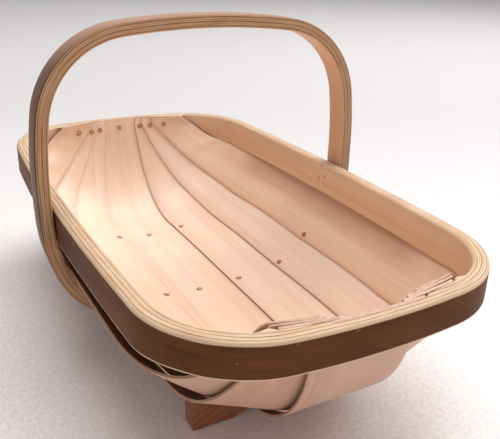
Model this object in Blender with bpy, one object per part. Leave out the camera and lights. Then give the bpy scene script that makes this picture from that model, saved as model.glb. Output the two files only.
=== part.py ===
"""Garden trug: a boat-shaped birch plywood basket in a stained rim, with a hoop handle and two feet.

Metres, +Z up, long axis along X, origin on the ground under the middle of the basket.
The centre board is the outermost one. Each side board lies inside the one before it,
touching it along its lower edge, and the handle hoop passes under the hull outside the rim.
"""
import math

import bmesh
import bpy
import numpy as np
from mathutils import Matrix, Vector
from mathutils.bvhtree import BVHTree

GAP = 0.0003                    # clearance between touching pieces

# Rim hoop, measured on its outer face
RIM_LENGTH = 0.560
RIM_WIDTH = 0.3012
RIM_CORNER_RADIUS = 0.087
RIM_SIDE_BOW = 0.0116
RIM_END_BOW = 0.0187
RIM_THICKNESS = 0.013
RIM_RISE = 0.0025               # rim top above the datum plane
RIM_DROP = 0.0295               # rim bottom below the datum plane
RIM_OUTER_ARRIS = 0.0034
RIM_INNER_ARRIS = 0.0026
RIM_LOWER_ARRIS = 0.0012
RIM_SHARP_ARRIS = 0.0004        # lower edge of the inner face
RIM_END_LIFT = 0.004            # how much the lower edge rises at the two ends
RIM_LIFT_START = 0.190
RIM_LIFT_END = 0.245
SCOOP_DEPTH = 0.0050            # how much thinner the rim is where the board ends are let in
SCOOP_FLAT_HALF = 0.0490
SCOOP_HALF = 0.0705
END_BOW_HALF = 0.074            # the board ends follow the rim this far from its middle
BOW_STEP = 0.015                # stretch of it that gives the direction of the straight rest
RIM_STEP = 0.001                # stretch of the rim that gives its direction

# Hull of seven boards
BOARD_THICKNESS = 0.002
BOARD_COLUMNS = (2, 3)          # strips across a board, below and beyond the next board's edge
PROFILE_STEP = 0.002            # share of the profile over which its slope is taken
HULL_DEPTH = 0.1165             # datum plane down to the inside of the centre board
FLOOR_HALF_LENGTH = 0.176       # flat part of the centre board
WALL_HEIGHT = 0.030             # straight end of the centre board below the datum plane
WALL_LEAN = 0.0062              # how far that end leans outward
BEND_REACH = 0.5523             # control length of the bend, a share of its two spans
BOW_FADE_HEIGHT = 0.045         # stretch below that end over which the boards become straight across
BOW_FADE_START = 0.150          # and the same along the basket
BOW_FADE_LENGTH = 0.070
BOARD_TOP_RISE = 0.0020         # board ends above the datum plane
CENTRE_EDGE_RIGHT = 0.0385
CENTRE_EDGE_LEFT = 0.0475
CORNER_CLIP_WIDTH = 0.0045
CORNER_CLIP_HEIGHT = 0.008
END_STACK_HEIGHT = 0.024        # stretch behind the rim where the boards lie close on each other

# Lower edge of each side board from the long centre line, at these lengths down from the rim
EDGE_MARKS = {"rim": 0.0, "wall": 0.030, "bend": 0.065, "heel": 0.105, "floor": 0.155, "waist": 0.215}
LOWER_EDGES_RIGHT = (
    {"rim": 0.0165, "wall": 0.0193, "bend": 0.0221, "heel": 0.0252, "floor": 0.0282,
     "waist": 0.0294, "middle": 0.0297},
    {"rim": 0.0225, "wall": 0.0355, "bend": 0.0508, "heel": 0.0638, "floor": 0.0749,
     "waist": 0.0792, "middle": 0.0810},
    {"rim": 0.0330, "wall": 0.0578, "bend": 0.0792, "heel": 0.0943, "floor": 0.1063,
     "waist": 0.1116, "middle": 0.1136},
)
LOWER_EDGES_LEFT = (
    {"rim": 0.0210, "wall": 0.0260, "bend": 0.0315, "heel": 0.0369, "floor": 0.0390,
     "waist": 0.0395, "middle": 0.0395},
    {"rim": 0.0345, "wall": 0.0465, "bend": 0.0640, "heel": 0.0775, "floor": 0.0860,
     "waist": 0.0885, "middle": 0.0890},
    {"rim": 0.0380, "wall": 0.0630, "bend": 0.0860, "heel": 0.1030, "floor": 0.1125,
     "waist": 0.1155, "middle": 0.1160},
)

# Upper edge of the first and second side boards
BOARD_1_HALF_SPAN = 0.107
BOARD_1_DEPTH = 0.103
BOARD_1_STRAIGHT = 0.145        # half length of the straight stretch
BOARD_1_NARROWING = 0.001       # how much nearer the middle its end is
BOARD_1_RISE = 0.0025           # and how much higher
BOARD_1_END_Y = 0.072
BOARD_1_CLIMB = math.radians(62)
BOARD_1_START_REACH = 0.048
BOARD_1_END_REACH = 0.074
BOARD_2_HALF_SPAN = 0.143
BOARD_2_DEPTH = 0.059
BOARD_2_STRAIGHT = 0.130
BOARD_2_NARROWING = 0.002
BOARD_2_RISE = 0.0005
BOARD_2_END_Y = 0.076
BOARD_2_CLIMB = math.radians(46)
BOARD_2_START_REACH = 0.081
BOARD_2_END_REACH = 0.062
# Upper edge of the third side board: it tucks under the rim, then climbs inside the rim's corner
BOARD_3_OVERHANG = 0.0106       # how far it stands outside the rim's inner face at mid-length
BOARD_3_TUCK_END = 0.0042       # and where it starts to climb
BOARD_3_END_Y = 0.079
BOARD_3_TUCK_LENGTH = 0.222     # length along the rim before it starts to climb
BOARD_3_CROSS_RATE = 5.0        # how soon on the climb it is inside the rim
BOARD_3_TILT = 0.72             # how flat it lies under the rim: 0 upright, 1 level
BOARD_3_CLIMB_DELAY = 0.15
BOARD_3_END_SLOPE = 0.55
RULING_SWAY = (0.055, 0.050, 0.030)
EDGE_CLEARANCE = 1.5 * GAP      # least height of a side board's upper edge over the one below
RISE_SHARES = tuple(k / 12 for k in range(2, 13))

# Handle hoop
HANDLE_WIDTH = 0.0261
HANDLE_THICKNESS = 0.0114
HANDLE_HALF_SPAN = 0.1521       # inner face at its widest, above the rim
HANDLE_MIDDLE_RISE = 0.0201     # height of that widest point above the datum plane
HANDLE_CROWN_HEIGHT = 0.1292    # from there up to the inside of the top
HANDLE_CORNER_RADIUS = 0.0772
HANDLE_SIDE_BOW = 0.0213
HANDLE_TOP_BOW = 0.0176
HANDLE_ARRIS = 0.0014
HANDLE_FLAT_HALF = 0.048        # flat stretch under the centre board
HANDLE_ANGLES = (math.radians(5), math.radians(31), math.radians(72), math.radians(84))

# Feet
FOOT_HEIGHT = 0.0322
FOOT_THICKNESS = 0.016
FOOT_SPACING = 0.304            # between the middles of the two feet
FOOT_HALF_LENGTH = 0.080
FOOT_SHIFT = -0.006
FOOT_PAD_LENGTH = 0.038
FOOT_ARCH_HEIGHT = 0.009
FOOT_ARRIS = 0.0015

# Copper tacks and steel pins
TACK_HEAD_RADIUS = 0.003
TACK_HEAD_HEIGHT = 0.0011
TACK_SHANK_RADIUS = 0.0008
TACK_BITE = 0.006               # how far a tack goes into the piece that holds it
TACK_POINT = 0.003
END_ROW_DEPTH = 0.011           # from the board ends down to the row of tacks
END_TACKS_RIGHT = (0.0062, 0.010, 0.013)    # from each board's lower edge
END_TACKS_LEFT = (0.0075, 0.0034, 0.0125)
HANDLE_TACKS_RIGHT = (0.008, 0.005, 0.005)
HANDLE_TACKS_LEFT = (0.0065, 0.005, 0.005)
HANDLE_TACK_OFFSETS = (0.002, 0.009, 0.009)  # along the board from the middle of the handle
FOOT_TACKS = 0.0065
HEAD_SEGMENTS = 10
DOME_WIDTH = 0.62               # flatter middle of a head, a share of its radius
DOME_FALL = 0.22                # how far its rim lies below the top, a share of the height
HEAD_EDGE = 0.30                # upright edge, a share of the height
SEAT_SEARCH = 0.004             # how far above its place a head is let down onto the surface
TOP_PROBE = 0.001               # a board's top is measured this far below it
CENTRE_TACK_END = 0.0033        # left of the middle
CENTRE_TACK_FLOOR = 0.008
PIN_HEAD_RADIUS = 0.0016
PIN_HEAD_HEIGHT = 0.0006
PIN_SHANK_RADIUS = 0.0006
PIN_POINT = 0.0015
PIN_SPACING = 0.0112
PIN_DEPTHS = (0.0157, 0.0106)   # below the datum plane, rear pin then front pin

# Mesh fineness
CURVE_POINTS = 160
FLOOR_STATIONS = 6
BEND_STATIONS = 16
WALL_STATIONS = 3
ARC_STATIONS = {"side": 8, "corner": 12, "end": 5}
HANDLE_LOWER_STATIONS = 6       # between two supports
HANDLE_CROWN_STATIONS = (5, 12, 5)

RIM_HALF_LENGTH = RIM_LENGTH / 2
RIM_HALF_WIDTH = RIM_WIDTH / 2
DATUM = FOOT_HEIGHT + GAP + BOARD_THICKNESS + HULL_DEPTH


def clear_scene():
    for item in list(bpy.data.objects):
        bpy.data.objects.remove(item, do_unlink=True)


def srgb(red, green, blue):
    def linear(value):
        value /= 255
        if value <= 0.04045:
            return value / 12.92
        return ((value + 0.055) / 1.055) ** 2.4
    return (linear(red), linear(green), linear(blue), 1.0)


def make_material(name, colour, roughness, metallic=0.0):
    material = bpy.data.materials.new(name)
    material.use_nodes = True
    shader = material.node_tree.nodes["Principled BSDF"]
    shader.inputs["Base Color"].default_value = colour
    shader.inputs["Roughness"].default_value = roughness
    shader.inputs["Metallic"].default_value = metallic
    material.diffuse_color = colour
    return material


def unit(vectors):
    return vectors / np.linalg.norm(vectors, axis=-1, keepdims=True)


def smoothstep(value):
    value = np.clip(value, 0.0, 1.0)
    return value * value * (3 - 2 * value)


def lengths_along(points):
    steps = np.linalg.norm(np.diff(points, axis=0), axis=1)
    return np.concatenate([[0.0], np.cumsum(steps)])


def resample(points, fractions):
    """Points at the given fractions of a polyline's length."""
    along = lengths_along(points)
    along = along / along[-1]
    return np.stack([np.interp(fractions, along, points[:, k]) for k in range(3)], axis=1)


def bowed_quarter(half_long, half_short, corner, long_bow, short_bow, counts):
    """A quarter of a bowed rounded rectangle, from the middle of the long side to the middle
    of the short side: points and outward normals, three tangent arcs."""
    long_radius = (half_long ** 2 + long_bow ** 2) / (2 * long_bow)
    short_radius = (half_short ** 2 + short_bow ** 2) / (2 * short_bow)
    long_centre = np.array([0.0, half_short - long_radius])
    short_centre = np.array([half_long - short_radius, 0.0])
    reach_long = long_radius - corner
    reach_short = short_radius - corner
    between = short_centre - long_centre
    distance = np.linalg.norm(between)
    along = (reach_long ** 2 - reach_short ** 2 + distance ** 2) / (2 * distance)
    across = math.sqrt(reach_long ** 2 - along ** 2)
    direction = between / distance
    side_step = np.array([-direction[1], direction[0]]) * across
    candidates = [long_centre + direction * along + side_step, long_centre + direction * along - side_step]
    corner_centre = max(candidates, key=lambda c: min(c))
    long_angle = math.atan2(*(corner_centre - long_centre)[::-1])
    short_angle = math.atan2(*(corner_centre - short_centre)[::-1])
    arcs = (
        (long_centre, long_radius, math.pi / 2, long_angle, counts[0]),
        (corner_centre, corner, long_angle, short_angle, counts[1]),
        (short_centre, short_radius, short_angle, 0.0, counts[2]),
    )
    points = []
    normals = []
    for centre, radius, start, stop, count in arcs:
        for angle in np.linspace(start, stop, count + 1)[:-1]:
            normal = np.array([math.cos(angle), math.sin(angle)])
            points.append(centre + radius * normal)
            normals.append(normal)
    points.append(np.array([half_long, 0.0]))
    normals.append(np.array([1.0, 0.0]))
    return np.array(points), np.array(normals)


def rim_quarter(counts):
    return bowed_quarter(RIM_HALF_LENGTH, RIM_HALF_WIDTH, RIM_CORNER_RADIUS,
                         RIM_SIDE_BOW, RIM_END_BOW, counts)


def mirror_quarter(points, normals):
    """The whole closed outline from one quarter."""
    def turned(values, closed_signs):
        first = values * closed_signs[0]
        second = (values * closed_signs[1])[::-1]
        third = values * closed_signs[2]
        fourth = (values * closed_signs[3])[::-1]
        return np.concatenate([first[:-1], second[:-1], third[:-1], fourth[:-1]])
    signs = (np.array([1, 1]), np.array([1, -1]), np.array([-1, -1]), np.array([-1, 1]))
    return turned(points, signs), turned(normals, signs)


def rim_thickness(lateral):
    """The rim's thickness at this distance from the long centre line."""
    fade = smoothstep((np.abs(lateral) - SCOOP_FLAT_HALF) / (SCOOP_HALF - SCOOP_FLAT_HALF))
    return RIM_THICKNESS - SCOOP_DEPTH * (1 - fade)


def rim_lift(x):
    """How much the rim's lower edge rises at this distance along it."""
    return RIM_END_LIFT * smoothstep((np.abs(x) - RIM_LIFT_START) / (RIM_LIFT_END - RIM_LIFT_START))


class RimFace:
    """The rim's inner face seen from above, read by length along it from mid-side."""

    def __init__(self):
        points, normals = rim_quarter((CURVE_POINTS, CURVE_POINTS, CURVE_POINTS))
        self.points = points - normals * rim_thickness(points[:, 1])[:, None]
        self.end_curve = points - normals * (RIM_THICKNESS - SCOOP_DEPTH)
        self.normals = normals
        flat = np.column_stack([self.points, np.zeros(len(points))])
        self.along = lengths_along(flat)

    def at(self, length, outward):
        place = []
        for k in range(2):
            centre = np.interp(length, self.along, self.points[:, k])
            normal = np.interp(length, self.along, self.normals[:, k])
            place.append(centre + normal * outward)
        return np.array(place)

    def length_at_y(self, lateral):
        """Length along the face where its distance from the long centre line is this."""
        return float(np.interp(-lateral, -self.points[:, 1], self.along))

    def x_at_y(self, lateral):
        return float(np.interp(-lateral, -self.points[:, 1], self.points[:, 0]))


RIM_FACE = RimFace()
WALL_X = RIM_FACE.x_at_y(0.0) - GAP - BOARD_THICKNESS


def end_bow(lateral):
    """Place along the basket of the curve that the board ends follow, straight past its half."""
    lateral = np.abs(lateral)
    marks = (np.minimum(lateral, END_BOW_HALF), END_BOW_HALF, END_BOW_HALF - BOW_STEP)
    across, along = RIM_FACE.end_curve.T[::-1]
    curve, near, before = (np.interp(-mark, -across, along) for mark in marks)
    return curve + (near - before) / BOW_STEP * np.maximum(0.0, lateral - END_BOW_HALF)


def bow_shift(points):
    """How far the rim's bow moves points of a hull that is straight across, along the basket."""
    share = 1 - smoothstep((-points[..., 2] - WALL_HEIGHT) / BOW_FADE_HEIGHT)
    share = share * smoothstep((points[..., 0] - BOW_FADE_START) / BOW_FADE_LENGTH)
    shift = np.zeros(points.shape)
    shift[..., 0] = share * (end_bow(points[..., 1]) - end_bow(0.0))
    return shift


def bezier(start, first, second, stop, count=CURVE_POINTS):
    t = np.linspace(0.0, 1.0, count)[:, None]
    return ((1 - t) ** 3 * start + 3 * (1 - t) ** 2 * t * first
            + 3 * (1 - t) * t ** 2 * second + t ** 3 * stop)


def centre_profile():
    """Inside of the centre board, from mid-length to its end, in the plane y = 0."""
    wall_foot = WALL_X - WALL_LEAN
    start = np.array([FLOOR_HALF_LENGTH, 0.0, -HULL_DEPTH])
    stop = np.array([wall_foot, 0.0, -WALL_HEIGHT])
    top = np.array([WALL_X, 0.0, BOARD_TOP_RISE])
    first = start + np.array([(wall_foot - FLOOR_HALF_LENGTH) * BEND_REACH, 0.0, 0.0])
    second = stop - unit(top - stop) * (HULL_DEPTH - WALL_HEIGHT) * BEND_REACH
    return np.concatenate([[(0.0, 0.0, -HULL_DEPTH)], bezier(start, first, second, stop), [top]])


PROFILE = centre_profile()
PROFILE_LENGTH = lengths_along(PROFILE)[-1]


def station_fractions():
    """Fractions of the profile's length at which every board has a row of points."""
    floor_end = FLOOR_HALF_LENGTH / PROFILE_LENGTH
    wall_start = 1 - (WALL_HEIGHT + BOARD_TOP_RISE) / PROFILE_LENGTH
    clip_start = 1 - CORNER_CLIP_HEIGHT / PROFILE_LENGTH
    parts = [
        np.linspace(0.0, floor_end, FLOOR_STATIONS + 1),
        np.linspace(floor_end, wall_start, BEND_STATIONS + 1)[1:],
        np.linspace(wall_start, clip_start, WALL_STATIONS + 1)[1:],
        np.array([1.0]),
    ]
    return np.concatenate(parts)


STATIONS = station_fractions()
FROM_TOP = (1 - STATIONS) * PROFILE_LENGTH


def swayed(amount):
    """Fractions of an upper edge that pair with the stations: ahead on the floor, behind on the wall."""
    return STATIONS + amount * np.sin(2 * math.pi * STATIONS ** 2)


def rim_end_point(lateral, outward, climb):
    """Where an upper edge meets the top of the rim, and its direction there."""
    length = RIM_FACE.length_at_y(lateral)
    here = RIM_FACE.at(length, outward)
    ahead = RIM_FACE.at(length + RIM_STEP, outward)
    run = unit(ahead - here) * math.cos(climb)
    point = np.array([here[0], here[1], BOARD_TOP_RISE])
    return point, np.array([run[0], run[1], math.sin(climb)])


def free_upper_edge(half_span, depth, straight, narrowing, rise, start_reach,
                    end_y, outward, climb, end_reach):
    """Outer upper edge of a board whose edge stands free below the rim."""
    middle = np.array([0.0, half_span, -depth])
    start = np.array([straight, half_span - narrowing, -depth + rise])
    stop, direction = rim_end_point(end_y, outward, climb)
    slope = (start - middle) / straight
    curve = bezier(start, start + slope * start_reach, stop - direction * end_reach, stop)
    return np.concatenate([[middle], curve])


def tucked_upper_edge():
    """Outer upper edge of the third board: under the rim, then up inside its corner."""
    end_length = RIM_FACE.length_at_y(BOARD_3_END_Y)
    span = end_length - BOARD_3_TUCK_LENGTH
    inside = 3 * GAP
    points = []
    for length in np.linspace(0.0, end_length, CURVE_POINTS):
        early = smoothstep(length / BOARD_3_TUCK_LENGTH)
        late = max(length - BOARD_3_TUCK_LENGTH, 0.0) / span
        outward = BOARD_3_OVERHANG + (BOARD_3_TUCK_END - BOARD_3_OVERHANG) * early
        outward -= (BOARD_3_TUCK_END + inside) * smoothstep(late * BOARD_3_CROSS_RATE)
        x, y = RIM_FACE.at(length, outward)
        tucked_z = rim_lift(x) - RIM_DROP - GAP - BOARD_THICKNESS * BOARD_3_TILT
        climb = max(late - BOARD_3_CLIMB_DELAY, 0.0) / (1 - BOARD_3_CLIMB_DELAY)
        z = tucked_z + (BOARD_TOP_RISE - tucked_z) * smoothstep(climb)
        z += span * BOARD_3_END_SLOPE * (climb ** 3 - climb ** 2)
        points.append((x, y, z))
    return np.array(points)


def upper_edges():
    first = free_upper_edge(BOARD_1_HALF_SPAN, BOARD_1_DEPTH, BOARD_1_STRAIGHT, BOARD_1_NARROWING,
                            BOARD_1_RISE, BOARD_1_START_REACH, BOARD_1_END_Y, -3 * GAP,
                            BOARD_1_CLIMB, BOARD_1_END_REACH)
    second = free_upper_edge(BOARD_2_HALF_SPAN, BOARD_2_DEPTH, BOARD_2_STRAIGHT, BOARD_2_NARROWING,
                             BOARD_2_RISE, BOARD_2_START_REACH, BOARD_2_END_Y, -3 * GAP,
                             BOARD_2_CLIMB, BOARD_2_END_REACH)
    third = tucked_upper_edge()
    return [resample(edge, swayed(sway)) for edge, sway in zip((first, second, third), RULING_SWAY)]


def whole_length(half):
    """A row of points over the whole length from those of the front half."""
    rear = half[::-1] * np.array([-1.0, 1.0, 1.0])
    return np.concatenate([rear, half[1:]])


def add_mesh(name, points, faces, material, sharp_angle=math.radians(32)):
    mesh = bpy.data.meshes.new(name)
    mesh.from_pydata([tuple(p) for p in points], [], faces)
    work = bmesh.new()
    work.from_mesh(mesh)
    bmesh.ops.recalc_face_normals(work, faces=work.faces)
    bmesh.ops.triangulate(work, faces=work.faces)
    work.to_mesh(mesh)
    work.free()
    mesh.shade_smooth()
    mesh.set_sharp_from_angle(angle=sharp_angle)
    mesh.materials.append(material)
    piece = bpy.data.objects.new(name, mesh)
    bpy.context.scene.collection.objects.link(piece)
    return piece


def raised(points):
    """From heights above the datum plane to heights above the ground."""
    return np.asarray(points) + np.array([0.0, 0.0, DATUM])


def closed_strip(rows, columns):
    """Faces of a closed solid whose rows are loops of points, capped at both ends."""
    faces = []
    for row in range(rows - 1):
        for column in range(columns):
            after = (column + 1) % columns
            a = row * columns + column
            b = row * columns + after
            faces.append((a, b, b + columns, a + columns))
    return faces


def board_solid(name, outer, inner, material):
    """A thin bent board from matching grids of points, station by column, on its two faces."""
    loop = np.concatenate([outer, inner[:, ::-1]], axis=1)
    columns = [whole_length(loop[:, column]) for column in range(loop.shape[1])]
    rows = len(columns[0])
    count = len(columns)
    points = np.stack(columns, axis=1).reshape(-1, 3)
    faces = closed_strip(rows, count)
    for start in (0, (rows - 1) * count):
        for column in range(outer.shape[1] - 1):
            across = count - 1 - column
            faces.append((start + column, start + column + 1, start + across - 1, start + across))
    return add_mesh(name, raised(points), faces, material)


def inner_normals(outer):
    """Directions toward the inside of the basket over a board's outer face."""
    along = np.gradient(outer, STATIONS, axis=0)
    across = np.gradient(outer, axis=1)
    normals = unit(np.cross(along, across))
    normals[0, :, 0] = 0.0
    return unit(normals)


def smooth_through(marks, values, places):
    """A smooth curve through the values at the marks, read at the places."""
    slopes = np.gradient(values, marks)
    slopes[-1] = 0.0
    span = np.clip(np.searchsorted(marks, places, side="right") - 1, 0, len(marks) - 2)
    width = marks[span + 1] - marks[span]
    t = (places - marks[span]) / width
    level = values[span] + (values[span + 1] - values[span]) * smoothstep(t)
    return level + width * t * (1 - t) * (slopes[span] * (1 - t) - slopes[span + 1] * t)


def edge_line(edge):
    """Distance of a board's lower edge from the long centre line, at each station."""
    marks = np.array([*EDGE_MARKS.values(), PROFILE_LENGTH])
    values = np.array([*(edge[name] for name in EDGE_MARKS), edge["middle"]])
    lateral = smooth_through(marks, values, FROM_TOP)
    return lateral + CORNER_CLIP_WIDTH * np.maximum(0.0, 1 - FROM_TOP / CORNER_CLIP_HEIGHT)


def shares(line_reach):
    """Columns across a board, with one under the lower edge of the board that lies on it."""
    first, second = BOARD_COLUMNS
    before = [line_reach * k / first for k in range(first)]
    after = [line_reach + (1 - line_reach) * k / second for k in range(second + 1)]
    return np.stack(before + after, axis=1)


class Board:
    """Half of a board from mid-length to its end: a grid of points on each face.

    It is laid out straight across first, then bowed with the rim."""

    def __init__(self, outer, line_column):
        self.normal = inner_normals(outer)
        inner = outer + self.normal * BOARD_THICKNESS
        self.next_low = (inner + self.normal * GAP)[:, line_column]
        self.next_normal = self.normal[:, line_column]
        self.surface = grid_surface(inner)
        self.outer = outer + bow_shift(outer)
        self.inner = inner + bow_shift(inner)


def centre_board(line, edge):
    """The centre board from its middle out to one edge; line is where the next board starts."""
    inner = resample(PROFILE, STATIONS)
    ahead = resample(PROFILE, np.minimum(STATIONS + PROFILE_STEP, 1.0))
    behind = resample(PROFILE, np.maximum(STATIONS - PROFILE_STEP, 0.0))
    tangent = unit(ahead - behind)
    normal = np.stack([-tangent[:, 2], tangent[:, 1], tangent[:, 0]], axis=1)
    reach = shares(line / edge)
    outer = np.repeat((inner - normal * BOARD_THICKNESS)[:, None], reach.shape[1], axis=1)
    outer[:, :, 1] = reach * edge
    return Board(outer, BOARD_COLUMNS[0])


def grid_surface(grid):
    """The surface through a grid of points, for rays."""
    rows, columns = grid.shape[:2]
    faces = []
    for row in range(rows - 1):
        for column in range(columns - 1):
            a = row * columns + column
            faces.append((a, a + 1, a + columns + 1, a + columns))
    return BVHTree.FromPolygons(grid.reshape(-1, 3).tolist(), faces)


def edge_rise(below, low, upper):
    """How far the upper edge must move inward for straight lines across to clear the board below."""
    rise = np.zeros(len(low))
    for row in range(len(low)):
        normal = Vector(below.next_normal[row])
        for share in RISE_SHARES:
            place = low[row] + (upper[row] - low[row]) * share
            place[2] = min(place[2], BOARD_TOP_RISE - TOP_PROBE)
            hit = below.surface.ray_cast(Vector(place) - normal * SEAT_SEARCH, normal, 2 * SEAT_SEARCH)
            if hit[0] is not None:
                clearance = GAP + (EDGE_CLEARANCE - GAP) * share
                rise[row] = max(rise[row], (clearance - SEAT_SEARCH + hit[3]) / share)
    spread = np.pad(rise, 2, mode="edge")
    highest = np.maximum.reduce([spread[:-2], spread[1:-1], spread[2:]])
    eased = (highest[:-2] + highest[1:-1] + highest[2:]) / 3
    return np.where(FROM_TOP < END_STACK_HEIGHT, rise, eased)


def side_board(below, upper, next_line):
    """A side board whose lower edge lies on the board below it."""
    low = below.next_low
    upper = upper - bow_shift(upper)
    high = upper + below.next_normal * edge_rise(below, low, upper)[:, None]
    line_reach = np.full(len(low), 0.5)
    if next_line is not None:
        line_reach = (next_line - low[:, 1]) / (high[:, 1] - low[:, 1])
    outer = low[:, None] + (high - low)[:, None] * shares(line_reach)[:, :, None]
    return Board(outer, BOARD_COLUMNS[0])


def side_boards(edges, centre_edge):
    """The centre board's half and the three boards of one side, drawn on the right."""
    lines = [edge_line(edge) for edge in edges] + [None]
    boards = [centre_board(lines[0], centre_edge)]
    for next_line, upper in zip(lines[1:], upper_edges()):
        boards.append(side_board(boards[-1], upper, next_line))
    return boards


def build_boards(sides, material):
    """All seven boards, from the halves of the two sides."""
    left = np.array([1.0, -1.0, 1.0])
    outer = np.concatenate([sides[-1][0].outer[:, :0:-1] * left, sides[1][0].outer], axis=1)
    inner = np.concatenate([sides[-1][0].inner[:, :0:-1] * left, sides[1][0].inner], axis=1)
    built = {"board_centre": board_solid("board_centre", outer, inner, material)}
    for side, boards in sides.items():
        word = "right" if side > 0 else "left"
        turn = np.array([1.0, side, 1.0])
        for number, board in enumerate(boards[1:], start=1):
            name = f"board_{word}_{number}"
            built[name] = board_solid(name, board.outer * turn, board.inner * turn, material)
    return built


def arc(centre_a, centre_b, radius, start, stop, count=3):
    angles = np.linspace(math.radians(start), math.radians(stop), count + 1)
    return [(centre_a + radius * math.cos(a), centre_b + radius * math.sin(a)) for a in angles]


def rim_section(point):
    """Inward distance and height around the rim's section at this point of its outline."""
    bottom = -RIM_DROP + float(rim_lift(point[0]))
    full = float(rim_thickness(point[1]))
    section = arc(RIM_OUTER_ARRIS, RIM_RISE - RIM_OUTER_ARRIS, RIM_OUTER_ARRIS, 180, 90)
    section += arc(full - RIM_INNER_ARRIS, RIM_RISE - RIM_INNER_ARRIS, RIM_INNER_ARRIS, 90, 0)
    section += arc(full - RIM_SHARP_ARRIS, bottom + RIM_SHARP_ARRIS, RIM_SHARP_ARRIS, 0, -90, 1)
    section += arc(RIM_LOWER_ARRIS, bottom + RIM_LOWER_ARRIS, RIM_LOWER_ARRIS, -90, -180, 1)
    return section


def ring_solid(name, loops, material):
    rows = len(loops)
    count = len(loops[0])
    points = [point for loop in loops for point in loop]
    faces = []
    for row in range(rows):
        after = (row + 1) % rows
        for column in range(count):
            beside = (column + 1) % count
            faces.append((row * count + column, row * count + beside,
                          after * count + beside, after * count + column))
    return add_mesh(name, raised(points), faces, material)


def build_rim(material):
    counts = (ARC_STATIONS["side"], ARC_STATIONS["corner"], ARC_STATIONS["end"])
    points, normals = mirror_quarter(*rim_quarter(counts))
    loops = []
    for point, normal in zip(points, normals):
        loop = [(*(point - normal * inward), z) for inward, z in rim_section(point)]
        loops.append(loop)
    return ring_solid("rim_hoop", loops, material)


def handle_support_points(sides):
    """Points of the hoop's inner face against the hull and the rim, with the slope at each."""
    flat_angle, first_angle, second_angle, rim_angle = HANDLE_ANGLES
    under_hull = -HULL_DEPTH - BOARD_THICKNESS - GAP
    supports = [((HANDLE_FLAT_HALF, under_hull), flat_angle)]
    for board, angle in ((sides[1][1], first_angle), (sides[1][2], second_angle)):
        edge = board.outer[0, -1]
        supports.append(((edge[1] + GAP * math.sin(angle), edge[2] - GAP * math.cos(angle)), angle))
    supports.append(((RIM_HALF_WIDTH + GAP, -RIM_DROP + 2 * RIM_LOWER_ARRIS), rim_angle))
    supports.append(((HANDLE_HALF_SPAN, HANDLE_MIDDLE_RISE), math.pi / 2))
    return supports


def handle_half(sides):
    """The hoop's inner face in the YZ plane, bottom to top on the right, with outward normals."""
    supports = handle_support_points(sides)
    bottom_z = supports[0][0][1]
    points = [np.array([0.0, bottom_z]), np.array([HANDLE_FLAT_HALF / 2, bottom_z])]
    for (start, start_angle), (stop, stop_angle) in zip(supports[:-1], supports[1:]):
        start = np.array(start)
        stop = np.array(stop)
        reach = np.linalg.norm(stop - start) / 3
        first = start + reach * np.array([math.cos(start_angle), math.sin(start_angle)])
        second = stop - reach * np.array([math.cos(stop_angle), math.sin(stop_angle)])
        points.extend(bezier(start, first, second, stop, HANDLE_LOWER_STATIONS + 1)[:-1])
    points = np.array(points)
    crown, crown_normals = bowed_quarter(HANDLE_HALF_SPAN, HANDLE_CROWN_HEIGHT, HANDLE_CORNER_RADIUS,
                                         HANDLE_TOP_BOW, HANDLE_SIDE_BOW, HANDLE_CROWN_STATIONS)
    crown = crown[::-1] + np.array([0.0, HANDLE_MIDDLE_RISE])
    slopes = np.gradient(np.concatenate([points, crown[:1]]), axis=0)[:-1]
    normals = unit(np.stack([slopes[:, 1], -slopes[:, 0]], axis=1))
    normals[0] = (0.0, -1.0)
    return np.concatenate([points, crown]), np.concatenate([normals, crown_normals[::-1]])


def handle_section():
    half = HANDLE_WIDTH / 2
    edge = HANDLE_ARRIS
    full = HANDLE_THICKNESS
    return [(-half, edge), (edge - half, 0.0), (half - edge, 0.0), (half, edge),
            (half, full - edge), (half - edge, full), (edge - half, full), (-half, full - edge)]


def build_handle(sides, material):
    points, normals = handle_half(sides)
    left = np.array([-1.0, 1.0])
    points = np.concatenate([points, (points * left)[-2:0:-1]])
    normals = np.concatenate([normals, (normals * left)[-2:0:-1]])
    loops = []
    for point, normal in zip(points, normals):
        loop = []
        for x, outward in handle_section():
            y, z = point + normal * outward
            loop.append((x, y, z))
        loops.append(loop)
    return ring_solid("handle_hoop", loops, material)


def build_foot(name, x, material):
    """A block across the hull, cut away to a shallow arch between its two pads."""
    arch_half = FOOT_HALF_LENGTH - FOOT_PAD_LENGTH
    outline = [(-FOOT_HALF_LENGTH, FOOT_HEIGHT), (-FOOT_HALF_LENGTH, 0.0)]
    for share in np.linspace(-1.0, 1.0, 13):
        outline.append((share * arch_half, FOOT_ARCH_HEIGHT * (1 - share ** 2)))
    outline += [(FOOT_HALF_LENGTH, 0.0), (FOOT_HALF_LENGTH, FOOT_HEIGHT)]
    count = len(outline)
    points = []
    for face_x in (-FOOT_THICKNESS / 2, FOOT_THICKNESS / 2):
        points += [(x + face_x, FOOT_SHIFT + y, z) for y, z in outline]
    faces = closed_strip(2, count)
    faces.append(tuple(range(count)))
    faces.append(tuple(range(count, 2 * count)))
    foot = add_mesh(name, points, faces, material)
    bevel = foot.modifiers.new("arris", "BEVEL")
    bevel.width = FOOT_ARRIS
    bevel.segments = 2
    bevel.limit_method = "ANGLE"
    bevel.angle_limit = math.radians(60)
    return foot


def surface_of(piece):
    work = bmesh.new()
    work.from_mesh(piece.data)
    surface = BVHTree.FromBMesh(work)
    work.free()
    return surface


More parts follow.
